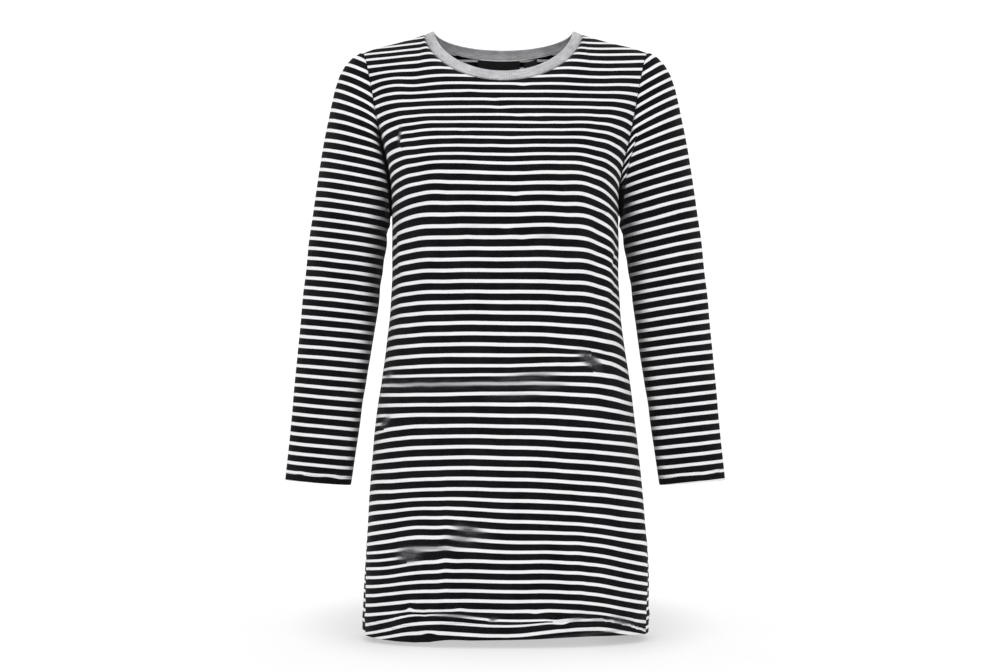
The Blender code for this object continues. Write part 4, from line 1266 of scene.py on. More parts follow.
@dataclass
class Wall:
    """Makes the closed shell of a sheet: an outer face, an inner face and the edges between them."""

    sheet: Sheet
    thickness: Values  # by row
    low: Edge          # the first row's edge
    high: Edge         # the last row's
    beside: Edge       # those of the first and last columns

    def face(self, name: str) -> tuple[Points, Values]:
        """Return one face of the wall, with the rows and columns that its edges add.

        Args:
            name: outer or inner.

        Returns:
            The points, each with its count, painted crease shade, other painted shade, distances across and
            along, and slip.
        """
        sheet = self.sheet
        slip = np.zeros(sheet.count.shape) if sheet.slip is None else sheet.slip
        carried = np.stack([sheet.count, sheet.rub, sheet.sunk, sheet.across, sheet.along(), slip], axis=2)
        stack = np.concatenate([sheet.grid, sheet.normals, carried], axis=2)
        low, high, beside = (getattr(edge.value, name) for edge in (self.low, self.high, self.beside))
        base = self.thickness if name == "inner" else np.zeros(len(self.thickness))
        stack = self.add_edge(stack, low, high)
        depth = np.broadcast_to(self.depths(base, low, high)[:, None], stack.shape[:2])
        if not sheet.closed:
            stack = self.add_edge(stack.swapaxes(0, 1), beside, beside).swapaxes(0, 1)
            column_depth = self.depths(np.zeros(sheet.grid.shape[1]), beside, beside)
            depth = np.maximum(depth[:, :1], column_depth[None, :])
        return stack[:, :, :3] - unit(stack[:, :, 3:6]) * depth[:, :, None], stack[:, :, 6:]

    @staticmethod
    def add_edge(stack: Values, low: tuple, high: tuple) -> Values:
        """Put an edge profile's rows in place of the first and the last row.

        Args:
            stack: A face's rows, each point with all that it carries.
            low: The profile at the first row.
            high: The profile at the last row.

        Returns:
            The rows of the finished face.
        """
        before = []
        after = []
        for profile, edge, inside, rows in ((low, 0, 1, before), (high, -1, -2, after)):
            reach = np.linalg.norm(stack[inside, :, :3] - stack[edge, :, :3], axis=1, keepdims=True)
            for place, _ in profile:
                rows.append(stack[edge] + (stack[inside] - stack[edge]) * (place * MM / reach))
        return np.concatenate([np.array(before), stack[1:-1], np.array(after[::-1])])

    @staticmethod
    def depths(base: Values, low: tuple, high: tuple) -> Values:
        """Return the depth of each row of a face, with its edges' rows."""
        before, after = ([depth * MM for _, depth in profile] for profile in (low, high[::-1]))
        return np.concatenate([before, base[1:-1], after])

    def mesh(self) -> Mesh:
        """Make the finished shell.

        Returns:
            Its mesh, with its stripes, painted crease shade, other painted shade and unfolded places as
            attributes.
        """
        outer, outer_carried = self.face("outer")
        inner, inner_carried = self.face("inner")
        rows, columns = outer.shape[:2]
        width = columns - 1 if self.sheet.closed else columns
        facing = int(self.sheet.facing)
        number = (np.arange(rows)[:, None] * width + np.arange(columns)[None, :] % width).ravel()
        skin, spots = rows * width, rows * columns
        place = np.arange(spots).reshape(rows, columns)
        quads, carried_at, slip_at = [], [], []
        corners = ((0, 0), (0, 1), (1, 1), (1, 0))
        where = np.stack([place[r:rows - 1 + r, c:columns - 1 + c].ravel() for r, c in corners], axis=1)
        first = np.stack([place[r:rows - 1 + r, :columns - 1].ravel() for r, _ in corners], axis=1)
        for index, turn in ((0, facing), (1, -facing)):
            quads.append(number[where][:, ::turn] + index * skin)
            carried_at.append(where[:, ::turn] + index * spots)
            slip_at.append(first[:, ::turn] + index * spots)
        around = [place[0, :-1], place[:-1, -1], place[-1, :0:-1], place[:0:-1, 0], place[0, :1]]
        border = [place[0], place[-1, ::-1]] if self.sheet.closed else [np.concatenate(around)]
        face = np.array([0, 0, 1, 1])[None, :]
        for line in border:
            here, there = line[:-1], line[1:]
            ends = np.stack([here, there, there, here], axis=1)
            quads.append((number[ends] + face * skin)[:, ::-facing])
            carried_at.append((ends + face * spots)[:, ::-facing])
            slip_at.append((np.minimum(ends, here[:, None]) + face * spots)[:, ::-facing])
        mesh = bpy.data.meshes.new(self.sheet.name)
        points = np.concatenate([outer[:, :width].reshape(-1, 3), inner[:, :width].reshape(-1, 3)])
        mesh.from_pydata(points.tolist(), [], np.concatenate(quads).tolist())
        carried = np.concatenate([outer_carried, inner_carried]).reshape(-1, outer_carried.shape[2])
        on_corners = carried[np.concatenate(carried_at).ravel()]
        counts = on_corners[:, 0] + carried[np.concatenate(slip_at).ravel(), 5]
        # the painted crease shade and the other painted shade go to the cloth as attributes
        for name, values in (("stripe", counts), ("rub", on_corners[:, 1]), ("sunk", on_corners[:, 2])):
            attribute = mesh.attributes.new(name, "FLOAT", "CORNER")
            attribute.data.foreach_set("value", values.astype(np.float32))
        grain = mesh.uv_layers.new(name="grain")
        grain.data.foreach_set("uv", on_corners[:, 3:5].astype(np.float32).ravel())
        mesh.shade_smooth()
        mesh.update()
        return mesh


def add_piece(name: str, mesh: Mesh, material: Material) -> Piece:
    """Add a finished mesh to the scene as a piece of the dress.

    Args:
        name: The piece's name.
        mesh: Its mesh, in place.
        material: Its finish.

    Returns:
        The piece, riding on the dress.
    """
    mesh.materials.append(material)
    piece = bpy.data.objects.new(name, mesh)
    bpy.context.scene.collection.objects.link(piece)
    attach(piece, BODY)
    return piece


# ---------------- labels and stitches

@dataclass
class HangingLabel:
    """A woven label or tab that hangs on the inside of the back from the neck seam."""

    name: str
    node: str
    width: float
    drop: float
    middle: float         # across, from the neckline's middle
    lean: float = 0.0     # degrees
    curl: float = 0.0008  # how far its lower edge stands off the cloth
    ripple: Pair = (0.5, 9.0)  # how much that varies, and in how many radians, across it
    columns: int = 24
    rows: int = 10

    def build(self, back: Sheet) -> Sheet:
        """Lay the label on the back's inner face.

        Args:
            back: The back, folded.

        Returns:
            The label as a sheet.
        """
        face = back.grid - back.normals * WALL
        order = np.argsort(face[-1, :, 0])
        shares = np.linspace(-0.5, 0.5, self.columns + 1)
        downs = np.linspace(self.drop, 0.0, self.rows + 1)
        lines, aims = [], []
        for share in shares:
            across = NECK_SHIFT + self.middle + share * self.width
            col = float(np.interp(across, face[-1, order, 0], order))
            low = int(col)
            line, aim = ((values[:, low] * (1.0 - col + low) + values[:, low + 1] * (col - low))[::-1]
                         for values in (face, back.normals))
            top = SEAM_START + (0.5 - share) * self.width * math.tan(math.radians(self.lean))
            depth = walked(line)
            lines.append(read_line(top + downs, depth, line))
            aims.append(read_line(top + downs, depth, aim))
        aims = unit(np.stack(aims, axis=1))
        swing, waves = self.ripple
        ripple = 1.0 + swing * np.cos(shares * waves)
        lift = LAY_GAP + self.curl * (downs / self.drop)[:, None] ** 3 * ripple
        grid = np.stack(lines, axis=1) - aims * lift[:, :, None]
        places = np.broadcast_to(shares * self.width, grid.shape[:2])
        sheet = Sheet(self.name, self.name, grid, -1.0, places, places, normals=aims)
        sheet.leave_plain()
        return sheet


@dataclass
class StitchRow:
    """Rows of stitches along lines on the cloth, each stitch a small bent rod that dives in at both ends."""

    length: float = 0.0022
    pitch: float = 0.0030
    radius: float = 0.00017
    lift: float = 0.00012  # how far a stitch's middle lies above the cloth
    sides: int = 5
    shares: tuple[float, ...] = (0.0, 0.16, 0.84, 1.0)  # where along a stitch its rings are
    sizes: tuple[float, ...] = (0.25, 1.0, 1.0, 0.25)   # their radii and heights, in radii of the thread
    rises: tuple[float, ...] = (-2.0, 0.0, 0.0, -2.0)

    def build(self, lines: list[tuple[Points, Points]], name: str) -> Mesh:
        """Sew some lines.

        Args:
            lines: For each line its points and the outward directions there.
            name: The mesh's name.

        Returns:
            All the stitches as one mesh.
        """
        angles = np.arange(self.sides) * 2.0 * math.pi / self.sides
        sizes = np.array(self.sizes) * self.radius
        heights = self.lift + np.array(self.rises) * self.radius
        ring = np.arange(self.sides)
        last = (len(self.shares) - 1) * self.sides
        beside = (ring + 1) % self.sides
        quads = np.stack([ring, beside, beside + self.sides, ring + self.sides], axis=1)
        sides_and_ends = [*(quad + low for low in range(0, last, self.sides) for quad in quads),
                          ring[::-1], ring + last]
        points = []
        faces = []
        for line, aims in lines:
            run = walked(line)
            for start in np.arange(0.5 * self.pitch, run[-1] - self.pitch, self.pitch):
                spots = start + np.array(self.shares) * self.length
                centre = read_line(spots, run, line)
                aim = unit(read_line(spots, run, aims))
                side = unit(np.cross(aim, unit(centre[-1] - centre[0])))
                centre = (centre + aim * heights[:, None])[:, None, :]
                around = (side[:, None, :] * np.cos(angles)[:, None]
                          + aim[:, None, :] * np.sin(angles)[:, None])
                faces += [(face + len(points)).tolist() for face in sides_and_ends]
                points.extend((centre + around * sizes[:, None, None]).reshape(-1, 3).tolist())
        mesh = bpy.data.meshes.new(name)
        mesh.from_pydata(points, [], faces)
        mesh.shade_smooth()
        mesh.update()
        return mesh


# ---------------- finishes

class Wiring:
    """Adds nodes to a node tree and joins them."""

    def __init__(self, tree: bpy.types.NodeTree) -> None:
        """Start with nothing in place.

        Args:
            tree: The tree that the nodes go into.
        """
        self.tree = tree
        self.across = -1400  # where the next node is put
        self.spacing = 160

    def node(self, kind: str, settings: dict[str, object], inputs: dict[str | int, object]) -> Sockets:
        """Add a node and join it up.

        Args:
            kind: The node's type, without ShaderNode.
            settings: Its properties.
            inputs: Its inputs, by name or number: a socket to join or a value to set.

        Returns:
            The node's outputs.
        """
        made = self.tree.nodes.new("ShaderNode" + kind)
        made.location = (self.across, 0)
        self.across += self.spacing
        for name, value in settings.items():
            setattr(made, name, value)
        for name, value in inputs.items():
            self.plug(made.inputs[name], value)
        return made.outputs

    def plug(self, socket: Socket, value: object) -> None:
        """Join a socket to an input, or set the input's value.

        Args:
            socket: The input.
            value: The socket, number or colour that it is given.
        """
        if isinstance(value, bpy.types.NodeSocket):
            self.tree.links.new(value, socket)
        elif isinstance(value, tuple) and len(value) == 3 and socket.type == "RGBA":
            socket.default_value = (*value, 1.0)
        else:
            socket.default_value = value

    def math(self, operation: str, *values: object) -> Socket:
        """Return the result of an operation on numbers."""
        return self.node("Math", {"operation": operation}, dict(enumerate(values)))[0]

    def ramp(self, value: object, low: object, high: object, start: float = 0.0, end: float = 1.0) -> Socket:
        """Return a value that goes softly from start to end as another goes from low to high."""
        places = {"Value": value, "From Min": low, "From Max": high, "To Min": start, "To Max": end}
        return self.node("MapRange", {"interpolation_type": "SMOOTHSTEP"}, places)["Result"]

    def mix(self, share: object, first: object, second: object) -> Socket:
        """Return a mixture of two colours, with a share of the second."""
        return self.node("Mix", {"data_type": "RGBA"}, {0: share, 6: first, 7: second})[2]

    def noise(self, place: object, scale: object, detail: float = 2.0, rough: float = 0.5) -> Socket:
        """Return a noise from 0 to 1 over the given place."""
        places = {"Vector": place, "Scale": scale, "Detail": detail, "Roughness": rough}
        return self.node("TexNoise", {}, places)["Fac"]

    def scaled(self, place: object, scale: Color) -> Socket:
        """Return a place stretched along its axes."""
        return self.node("Mapping", {}, {"Vector": place, "Scale": scale})["Vector"]

    def length(self, place: object) -> Socket:
        """Return how far a place is from the middle of its piece."""
        return self.node("VectorMath", {"operation": "LENGTH"}, {"Vector": place})["Value"]

    def parts(self, place: object) -> Sockets:
        """Return the X, Y and Z of a place."""
        return self.node("SeparateXYZ", {}, {"Vector": place})

    def group(self, tree: bpy.types.NodeTree, inputs: dict[str, object]) -> Sockets:
        """Place a shared group, with its own values, and return its outputs."""
        return self.node("Group", {"node_tree": tree}, inputs)

    def carried(self, name: str) -> Socket:
        """Return a value that the cloth carries."""
        return self.node("Attribute", {"attribute_name": name}, {})["Fac"]

    def grain(self) -> Socket:
        """Return the place on the unfolded cloth."""
        return self.node("UVMap", {"uv_map": "grain"}, {})["UV"]

    def place(self) -> Socket:
        """Return the place in the piece."""
        return self.node("TexCoord", {}, {})["Object"]


class EffectGroups:
    """The shader node groups that the finishes share, each built once."""

    def __init__(self) -> None:
        """Build every group."""
        self.build_stripes()
        self.build_knit()
        self.build_yarn()

    @staticmethod
    def start(name: str, inputs: dict[str, tuple[str, object]], outputs: tuple[str, ...]) -> tuple:
        """Make a group with its named sockets.

        Args:
            name: The group's name.
            inputs: For each input its socket type and its default, or None.
            outputs: The outputs, all numbers.

        Returns:
            The group, its wiring, what it is given and what it puts out.
        """
        group = bpy.data.node_groups.new(name, "ShaderNodeTree")
        for label, (kind, default) in inputs.items():
            socket = group.interface.new_socket(label, in_out="INPUT", socket_type="NodeSocket" + kind)
            if default is not None:
                socket.default_value = default
        for label in outputs:
            group.interface.new_socket(label, in_out="OUTPUT", socket_type="NodeSocketFloat")
        given = group.nodes.new("NodeGroupInput")
        given.location = (-1700, 0)
        result = group.nodes.new("NodeGroupOutput")
        result.location = (1400, 0)
        return group, Wiring(group), given.outputs, result.inputs

    def build_stripes(self) -> None:
        """Build the stripes: 1 in a white stripe, 0 on the ground, with the edges that knitting leaves."""
        self.stripes, wire, given, result = self.start(
            "stripes",
            {"Count": ("Float", 0.0), "Place": ("Vector", None), "White Share": ("Float", 0.4),
             "Edge": ("Float", 0.04), "Waver": ("Float", 0.08)},
            ("White",))
        slow = wire.math("SUBTRACT", wire.noise(given["Place"], 26.0), 0.5)
        fast = wire.math("SUBTRACT", wire.noise(given["Place"], 420.0), 0.5)
        moved = wire.math("MULTIPLY_ADD", slow, given["Waver"], given["Count"])
        moved = wire.math("MULTIPLY_ADD", fast, wire.math("MULTIPLY", given["Waver"], 0.2), moved)
        between = wire.math("FRACT", wire.math("ADD", moved, 0.5))
        away = wire.math("ABSOLUTE", wire.math("MULTIPLY_ADD", between, 2.0, -1.0))
        low = wire.math("SUBTRACT", given["White Share"], given["Edge"])
        high = wire.math("ADD", given["White Share"], given["Edge"])
        wire.plug(result["White"], wire.ramp(away, low, high, 1.0, 0.0))

    def build_knit(self) -> None:
        """Build the relief of a jersey or rib: columns of V-shaped loops."""
        self.knit, wire, given, result = self.start(
            "knit",
            {"Grain": ("Vector", None), "Column": ("Float", 0.0008), "Course": ("Float", 0.0006),
             "Depth": ("Float", 0.5)},
            ("Height",))
        parts = wire.parts(given["Grain"])
        across = wire.math("FRACT", wire.math("DIVIDE", parts["X"], given["Column"]))
        from_middle = wire.math("ABSOLUTE", wire.math("SUBTRACT", across, 0.5))
        up = wire.math("ADD", wire.math("DIVIDE", parts["Y"], given["Course"]), from_middle)
        loop = wire.math("MULTIPLY", wire.math("PINGPONG", up, 0.5), 2.0)
        rib = wire.math("SUBTRACT", 1.0, wire.math("MULTIPLY", from_middle, 2.0))
        rib = wire.math("POWER", rib, 0.6)
        rib = wire.math("MULTIPLY", rib, given["Depth"])
        wire.plug(result["Height"], wire.math("ADD", rib, wire.math("MULTIPLY", loop, 0.4)))

    def build_yarn(self) -> None:
        """Build the unevenness of yarn: slow patches, streaks along the courses and lint."""
        self.yarn, wire, given, result = self.start(
            "yarn",
            {"Grain": ("Vector", None), "Place": ("Vector", None), "Streak": ("Float", 900.0)},
            ("Tone", "Lint"))
        patch = wire.noise(given["Place"], 38.0, 3.0, 0.6)
        streak = wire.noise(wire.scaled(given["Grain"], (0.16, 1.0, 1.0)), given["Streak"])
        tone = wire.math("MULTIPLY_ADD", patch, 0.5, wire.math("MULTIPLY", streak, 0.5))
        wire.plug(result["Tone"], wire.ramp(tone, 0.32, 0.68))
        wire.plug(result["Lint"], wire.ramp(wire.noise(given["Place"], 1500.0, 1.0), 0.66, 0.78))


@dataclass(frozen=True)
class Finish:
    """What every finish of cloth has."""

    name: str
    roughness: float
    specular: float
    sheen: float
    sheen_roughness: float
    bump: float  # metres

    def start(self) -> tuple[Material, Wiring, bpy.types.Node]:
        """Make the material, with its plain values set on the shader's own sockets.

        Returns:
            The material, its wiring and its shader.
        """
        material = bpy.data.materials.new(self.name)
        material.use_nodes = True
        shader = material.node_tree.nodes["Principled BSDF"]
        shader.inputs["Roughness"].default_value = self.roughness
        shader.inputs["Specular IOR Level"].default_value = self.specular
        shader.inputs["Sheen Weight"].default_value = self.sheen
        shader.inputs["Sheen Roughness"].default_value = self.sheen_roughness
        return material, Wiring(material.node_tree), shader

    def dress(self, wire: Wiring, shader: bpy.types.Node, color: Socket, height: Socket) -> None:
        """Give the shader its colour and the fine relief of the cloth.

        Args:
            wire: The material's wiring.
            shader: The shader.
            color: The colour over the surface.
            height: The relief, 1 for its whole height.
        """
        wire.plug(shader.inputs["Base Color"], color)
        bump = wire.node("Bump", {}, {"Height": height, "Distance": self.bump, "Strength": 1.0})
        wire.plug(shader.inputs["Normal"], bump["Normal"])


@dataclass(frozen=True)
class JerseyFinish(Finish):
    """Striped single jersey, with painted shade in its creases and beside the arms."""

    dark: Color = (0.0025, 0.0025, 0.0036)
    dark_worn: Color = (0.0085, 0.0085, 0.0102)
    lint: Color = (0.30, 0.30, 0.32)
    lint_share: float = 0.10
    white: Color = (0.845, 0.845, 0.855)
    white_shaded: Color = (0.775, 0.775, 0.788)
    white_share: float = 0.328  # of a stripe's pitch
    edge: float = 0.05          # how soft a stripe's edges are, and how much they waver
    waver: float = 0.08
    crease_shade_edge: float = 0.32  # the same where the painted crease shade greys them
    crease_shade_waver: float = 0.30
    # colours of the painted crease shade
    crease_shade_low: Color = (0.010, 0.010, 0.012)
    crease_shade_high: Color = (0.36, 0.36, 0.38)
    crease_shade_streak: Color = (0.135, 0.135, 0.143)
    streak_share: float = 0.25
    blur_full: float = 0.62  # the painted crease shade at which the stripes are all blurred
    veil: Pair = (0.58, 0.98)  # and between which a grey veil of painted shade covers them
    veil_share: float = 0.94
    fleck_share: float = 0.75
    # the colour towards which painted shade darkens the cloth in furrows and on the sleeves' inner sides
    sunk: Color = (0.0030, 0.0030, 0.0038)
    column: float = 0.00085
    course: float = 0.00062

    def material(self, effects: EffectGroups) -> Material:
        """Make the jersey's material.

        Args:
            effects: The shared effects.

        Returns:
            The material.
        """
        material, wire, shader = self.start()
        grain, place = wire.grain(), wire.place()
        count, rub, sunk = (wire.carried(name) for name in ("stripe", "rub", "sunk"))
        counted = {"Count": count, "Place": place, "White Share": self.white_share}
        stripes, ghosts = (wire.group(effects.stripes, {**counted, "Edge": edge, "Waver": waver})
                           for edge, waver in ((self.edge, self.waver),
                                               (self.crease_shade_edge, self.crease_shade_waver)))
        yarn = wire.group(effects.yarn, {"Grain": grain, "Place": place})
        knit = wire.group(effects.knit, {"Grain": grain, "Column": self.column, "Course": self.course})
        ground = wire.mix(yarn["Tone"], self.dark, self.dark_worn)
        ground = wire.mix(wire.math("MULTIPLY", yarn["Lint"], self.lint_share), ground, self.lint)
        light = wire.mix(yarn["Tone"], self.white_shaded, self.white)
        color = wire.mix(stripes["White"], ground, light)
        streaks = wire.ramp(wire.noise(wire.scaled(place, (0.12, 0.12, 1.0)), 420.0, 3.0, 0.65), 0.34, 0.66)
        # painted shade: the crease shade greys the stripes, then veils them
        grey = wire.mix(ghosts["White"], self.crease_shade_low, self.crease_shade_high)
        grey = wire.mix(wire.math("MULTIPLY", streaks, self.streak_share), grey, self.crease_shade_streak)
        color = wire.mix(wire.ramp(rub, 0.0, self.blur_full), color, grey)
        hatch = wire.ramp(wire.noise(place, 900.0, 2.0, 0.7), 0.36, 0.64)
        flecks = wire.math("MULTIPLY", streaks, hatch)
        flecks = wire.math("MULTIPLY_ADD", flecks, self.fleck_share, 1.0 - self.fleck_share)
        veil = wire.mix(flecks, self.crease_shade_low, self.crease_shade_streak)
        color = wire.mix(wire.ramp(rub, *self.veil, 0.0, self.veil_share), color, veil)
        # painted shade darkens the colour in the furrows by the arms and on the sleeves' inner sides
        self.dress(wire, shader, wire.mix(sunk, color, self.sunk), knit["Height"])
        return material


@dataclass(frozen=True)
class MarlFinish(Finish):
    """Grey marl rib: light and dark fibres spun together."""

    light: Color = (0.640, 0.640, 0.658)
    middle: Color = (0.405, 0.405, 0.424)
    dark: Color = (0.165, 0.165, 0.185)
    fibre_dark_and_groove_shade: float = 0.60  # how much of the dark shows in dark fibres, and as painted shade in the grooves
    column: float = 0.0025
    course: float = 0.0012
    depth: float = 0.9
    streak: float = 520.0

    def material(self, effects: EffectGroups) -> Material:
        """Make the rib's material.

        Args:
            effects: The shared effects.

        Returns:
            The material.
        """
        material, wire, shader = self.start()
        grain, place = wire.grain(), wire.place()
        yarn = wire.group(effects.yarn, {"Grain": grain, "Place": place, "Streak": self.streak})
        knit = wire.group(effects.knit, {"Grain": grain, "Column": self.column, "Course": self.course,
                                         "Depth": self.depth})
        fibres = wire.noise(wire.scaled(grain, (1.0, 0.45, 1.0)), 1300.0, 2.0, 0.7)
        color = wire.mix(yarn["Tone"], self.middle, self.light)
        color = wire.mix(wire.ramp(fibres, 0.53, 0.68, 0.0, self.fibre_dark_and_groove_shade), color, self.dark)
        # painted shade: darker in the rib's grooves
        color = wire.mix(wire.ramp(knit["Height"], 0.1, 0.7, self.fibre_dark_and_groove_shade, 0.0), color, self.dark)
        self.dress(wire, shader, color, knit["Height"])
        return material


@dataclass(frozen=True)
class SatinFinish(Finish):
    """Black woven ribbon."""

    warp: Color = (0.0075, 0.0075, 0.008)
    weft: Color = (0.016, 0.016, 0.017)
    thread: float = 0.00032
    course: float = 0.7  # how close the weft lies, in threads

    def material(self, effects: EffectGroups) -> Material:
        """Make the ribbon's material.

        Args:
            effects: The shared effects.

        Returns:
            The material.
        """
        material, wire, shader = self.start()
        grain = wire.grain()
        weave = wire.group(effects.knit, {"Grain": grain, "Column": self.thread,
                                          "Course": self.thread * self.course})
        yarn = wire.group(effects.yarn, {"Grain": grain, "Place": wire.place()})
        self.dress(wire, shader, wire.mix(yarn["Tone"], self.warp, self.weft), weave["Height"])
        return material


@dataclass(frozen=True)
class ThreadFinish(Finish):
    """Sewing thread, twisted."""

    shade: Color = (0.012, 0.012, 0.014)
    light: Color = (0.040, 0.040, 0.045)

    def material(self) -> Material:
        """Make the thread's material.

        Returns:
            The material.
        """
        material, wire, shader = self.start()
        twist = wire.noise(wire.place(), 2600.0, 1.0)
        self.dress(wire, shader, wire.mix(wire.ramp(twist, 0.35, 0.65), self.shade, self.light), twist)
        return material


@dataclass(frozen=True)
class Finishes:
    """Every finish of the dress."""

    jersey: Material
    rib: Material
    ribbon: Material
    tab: Material
    thread: Material

    @classmethod
    def mixed(cls) -> "Finishes":
        """Build the shared effects and then every finish.

        Returns:
            The finishes.
        """
        effects = EffectGroups()
        return cls(
            JerseyFinish("striped_jersey", 0.92, 0.04, 0.05, 0.40, 0.00025).material(effects),
            MarlFinish("marl_rib", 0.95, 0.10, 0.06, 0.5, 0.00045).material(effects),
            SatinFinish("black_ribbon", 0.55, 0.35, 0.0, 0.3, 0.00006).material(effects),
            SatinFinish("charcoal_ribbon", 0.6, 0.3, 0.0, 0.3, 0.00006, (0.012, 0.012, 0.0135),
                        (0.027, 0.027, 0.030)).material(effects),
            ThreadFinish("sewing_thread", 0.6, 0.3, 0.0, 0.3, 0.00005).material(),
        )


# ---------------- sub-assemblies

@dataclass
class Dress:
    """The sewn dress: its panels, sleeves and band, which share their seams."""

    finishes: Finishes
    body: BodyShape = field(default_factory=BodyShape)
    sleeve: SleeveShape = field(default_factory=SleeveShape)
    band_shape: BandShape = field(default_factory=BandShape)
    front: Sheet = field(init=False)
    back: Sheet = field(init=False)
    sleeves: dict[Hand, Sheet] = field(init=False)
    band: Sheet = field(init=False)

    def shape(self) -> None:
        """Lay out every sheet, fold it and stripe it."""
        self.front = self.body.panel(Side.FRONT)
        self.back = self.body.panel(Side.BACK)
        underarm = self.body.hem_rows + self.body.skirt_rows - 1
        self.sleeves = {hand: self.sleeve.sheet(hand, self.front, self.back, underarm) for hand in Hand}
        self.band = self.band_shape.sheet(self.front, self.back, self.body.side_columns)
        sheets = [self.front, self.back, *self.sleeves.values(), self.band]
        share_normals(sheets)
        stripes = BodyStripes()
        for sheet, side in ((self.front, Side.FRONT), (self.back, Side.BACK)):
            self.body.fold(sheet)
            self.body.stripe(sheet, side, stripes)
        for hand, sheet in self.sleeves.items():
            self.sleeve.fold(sheet, hand)
            self.sleeve.stripe(sheet, hand)
        share_normals(sheets)

    def panels(self) -> Iterator[Piece]:
        """Make the front and the back.

        Returns:
            The two pieces, one by one.
        """
        cuts = ((0.460, 0.895, 0.378), (0.600, 0.900, 0.401))  # width, length and area of what shows
        for sheet, (width, length, area) in zip((self.front, self.back), cuts):
            up = sheet.along().mean(axis=1)
            thickness = np.where(up <= HEM_TURN_UP, TURN_UP_WALL, WALL)
            mesh = Wall(sheet, thickness, Edge.TURNED, Edge.SEWN, Edge.SEWN).mesh()
            piece = add_piece(sheet.name, mesh, self.finishes.jersey)
            side = sheet.name.split("_")[0]
            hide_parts(f"{side}_panel")
            yield piece

    def arms(self) -> Iterator[Piece]:
        """Make the sleeves.

        Returns:
            The two pieces, one by one.
        """
        for hand, sheet in self.sleeves.items():
            up = sheet.along()
            from_cuff = (up[-1:] - up).mean(axis=1)
            thickness = np.where(from_cuff <= CUFF_TURN_UP, TURN_UP_WALL, WALL)
            mesh = Wall(sheet, thickness, Edge.SEWN, Edge.TURNED, Edge.SEWN).mesh()
            piece = add_piece(sheet.name, mesh, self.finishes.jersey)
            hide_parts(f"sleeve_{hand.name.lower()}")
            yield piece

    def neck(self) -> Iterator[Piece]:
        """Make the neck band.

        Returns:
            The one piece.
        """
        thickness = np.full(len(self.band.grid), BAND_WALL)
        mesh = Wall(self.band, thickness, Edge.SEWN, Edge.ROLLED, Edge.SEWN).mesh()
        piece = add_piece(self.band.name, mesh, self.finishes.rib)
        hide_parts("neck_band")
        yield piece

    def labels(self) -> Iterator[Piece]:
        """Make the woven label and the size tab.

        Returns:
            The two pieces, one by one.
        """
        kinds = (HangingLabel("woven_label", "neck_label", 0.061, 0.0235, -0.0068),
                 HangingLabel("size_ribbon", "size_tab", 0.0185, 0.0104, 0.0395, lean=13.0, columns=10,
                              rows=6))
        for label, finish in zip(kinds, (self.finishes.ribbon, self.finishes.tab)):
            sheet = label.build(self.back)
            thickness = np.full(len(sheet.grid), LABEL_WALL)
            mesh = Wall(sheet, thickness, Edge.CUT, Edge.CUT, Edge.CUT).mesh()
            piece = add_piece(label.name, mesh, finish)
            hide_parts(label.node)
            yield piece

    def stitching(self) -> Iterator[Piece]:
        """Sew the hem and the cuffs with two rows of stitches each.

        Returns:
            The stitches of the hem, then those of the cuffs.
        """
        for name, sheets, heights, from_last in (
                ("hem_stitches", (self.front, self.back), HEM_STITCHES, False),
                ("cuff_stitches", self.sleeves.values(), CUFF_STITCHES, True)):
            lines = [sheet.line_at(height, from_last) for height in heights for sheet in sheets]
            yield add_piece(name, StitchRow().build(lines, name), self.finishes.thread)


def report(piece: Piece) -> None:
    """Say what a piece has come to."""
    triangles = sum(len(face.vertices) - 2 for face in piece.data.polygons)
    LOG.info("%s: %d triangles", piece.name, triangles)


# ---------------- studio

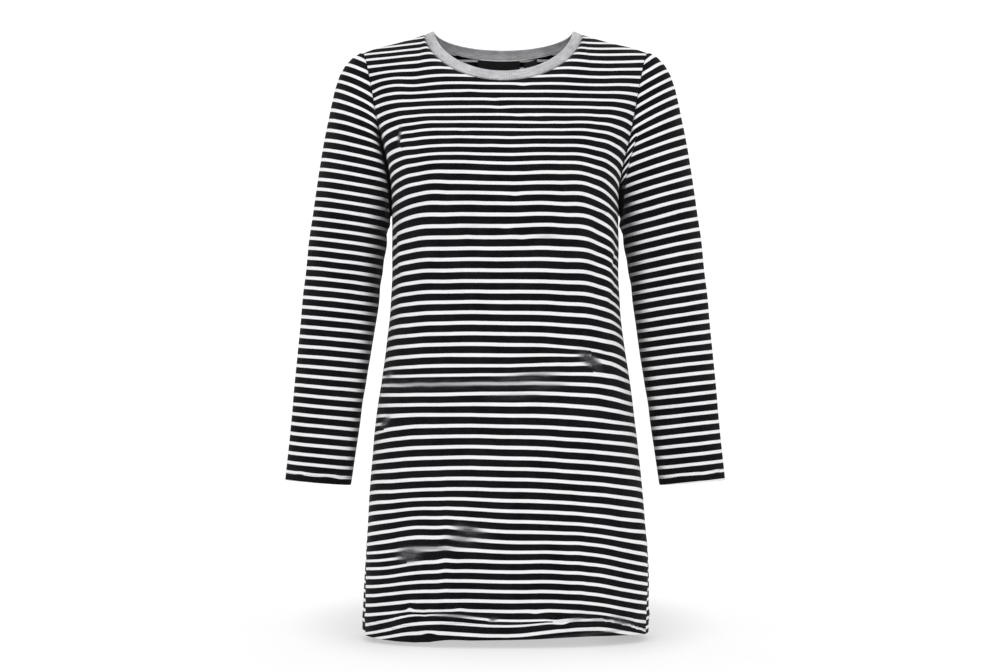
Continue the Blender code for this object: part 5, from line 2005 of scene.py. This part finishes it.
@dataclass
class Studio:
    """A plain pale floor with a soft shadow painted round the dress, soft light from in front and a level
    camera.
    """

    camera_across: float = -0.0017
    camera_distance: float = 3.5
    camera_height: float = -0.435
    lens: float = 87.4
    sensor: float = 36.0
    view_end: float = 100.0
    floor_height: float = -0.867
    floor_radius: float = 30.0
    floor_shade: float = 0.38
    floor_glow: float = 0.585
    shadow_glow: float = 0.415   # its glow beside the dress, lowered there into a painted soft shadow
    shadow_middle: float = 0.22  # how far behind the dress that painted shadow's middle lies
    shadow_narrow: float = 0.6   # how much of its width its depth has
    shadow_start: float = 0.20
    shadow_reach: float = 0.345
    shadow_under: float = 0.35  # how much of it there is under the dress, and where that ends
    shadow_side: Pair = (0.10, 0.20)
    far_glow: float = 0.66  # the floor's glow past the reach of the lights
    near: float = 0.8
    far: float = 2.4
    sky_strength: float = 1.13
    front_power: float = 32.0
    front_size: float = 3.0
    front_place: tuple[float, float, float] = (0.0, -4.6, -0.25)
    top_power: float = 4.0
    top_size: float = 1.6
    top_place: tuple[float, float, float] = (0.0, -1.2, 2.3)
    aim: tuple[float, float, float] = (0.0, 0.0, -0.45)

    def build(self) -> None:
        """Set up the floor, the light and the camera."""
        scene = bpy.context.scene
        scene.view_settings.view_transform = "Standard"
        self.sky()
        self.floor()
        self.light("front_light", self.front_place, self.front_size, self.front_power)
        self.light("top_light", self.top_place, self.top_size, self.top_power)
        lens = bpy.data.cameras.new("camera")
        lens.lens = self.lens
        lens.sensor_width = self.sensor
        lens.clip_end = self.view_end
        camera = bpy.data.objects.new("camera", lens)
        camera.location = (self.camera_across, -self.camera_distance, self.camera_height)
        camera.rotation_euler = (QUARTER, 0.0, 0.0)
        scene.collection.objects.link(camera)
        scene.camera = camera

    def sky(self) -> None:
        """Surround the scene with even white light."""
        world = bpy.data.worlds.new("studio")
        world.use_nodes = True
        background = world.node_tree.nodes["Background"]
        background.inputs["Color"].default_value = (1.0, 1.0, 1.0, 1.0)
        background.inputs["Strength"].default_value = self.sky_strength
        bpy.context.scene.world = world

    def floor(self) -> None:
        """Lay the floor, with a soft shadow of the dress painted into its glow."""
        bpy.ops.object.select_all(action="DESELECT")
        bpy.ops.mesh.primitive_circle_add(vertices=64, radius=self.floor_radius, fill_type="NGON",
                                          location=(0.0, 0.0, self.floor_height))
        floor = bpy.context.object
        floor.name = "studio_floor"
        bpy.ops.object.transform_apply(location=True, rotation=True, scale=True)
        material = bpy.data.materials.new("pale_floor")
        material.use_nodes = True
        shader = material.node_tree.nodes["Principled BSDF"]
        shader.inputs["Base Color"].default_value = (self.floor_shade,) * 3 + (1.0,)
        shader.inputs["Emission Strength"].default_value = 1.0
        shader.inputs["Roughness"].default_value = 1.0
        shader.inputs["Specular IOR Level"].default_value = 0.0
        wire = Wiring(material.node_tree)
        place = wire.place()
        away = wire.ramp(wire.length(place), self.near, self.far)
        glow = wire.mix(away, (self.floor_glow,) * 3, (self.far_glow,) * 3)
        # painted shadow: the floor's glow is lowered in a soft patch behind and beside the dress
        behind = -self.shadow_narrow * self.shadow_middle
        beside = wire.node("Mapping", {}, {"Vector": place, "Location": (0.0, behind, 0.0),
                                           "Scale": (1.0, self.shadow_narrow, 0.0)})["Vector"]
        across = wire.math("ABSOLUTE", wire.parts(place)["X"])
        ring = wire.math("MULTIPLY", wire.ramp(across, *self.shadow_side, self.shadow_under),
                         wire.ramp(wire.length(beside), self.shadow_start, self.shadow_reach, 1.0, 0.0))
        wire.plug(shader.inputs["Emission Color"], wire.mix(ring, glow, (self.shadow_glow,) * 3))
        floor.data.materials.append(material)

    def light(self, name: str, place: tuple[float, float, float], size: float, power: float) -> None:
        """Hang a square soft light that faces the middle of the dress.

        Args:
            name: Its name.
            place: Where it hangs.
            size: The length of its sides.
            power: Its power in watts.
        """
        lamp = bpy.data.lights.new(name, "AREA")
        lamp.size = size
        lamp.energy = power
        holder = bpy.data.objects.new(name, lamp)
        holder.location = place
        aim = Vector(self.aim) - Vector(place)
        holder.rotation_euler = aim.to_track_quat("-Z", "Y").to_euler()
        bpy.context.scene.collection.objects.link(holder)


def main() -> None:
    """Build the dress around its solids, report its pieces and set it in the studio."""
    logging.basicConfig(level=logging.INFO, format="%(name)s: %(message)s")
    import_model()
    dress = Dress(Finishes.mixed())
    dress.shape()
    for make in (dress.panels, dress.arms, dress.neck, dress.labels, dress.stitching):
        for piece in make():
            report(piece)
    Studio().build()


if __name__ == "__main__":
    main()
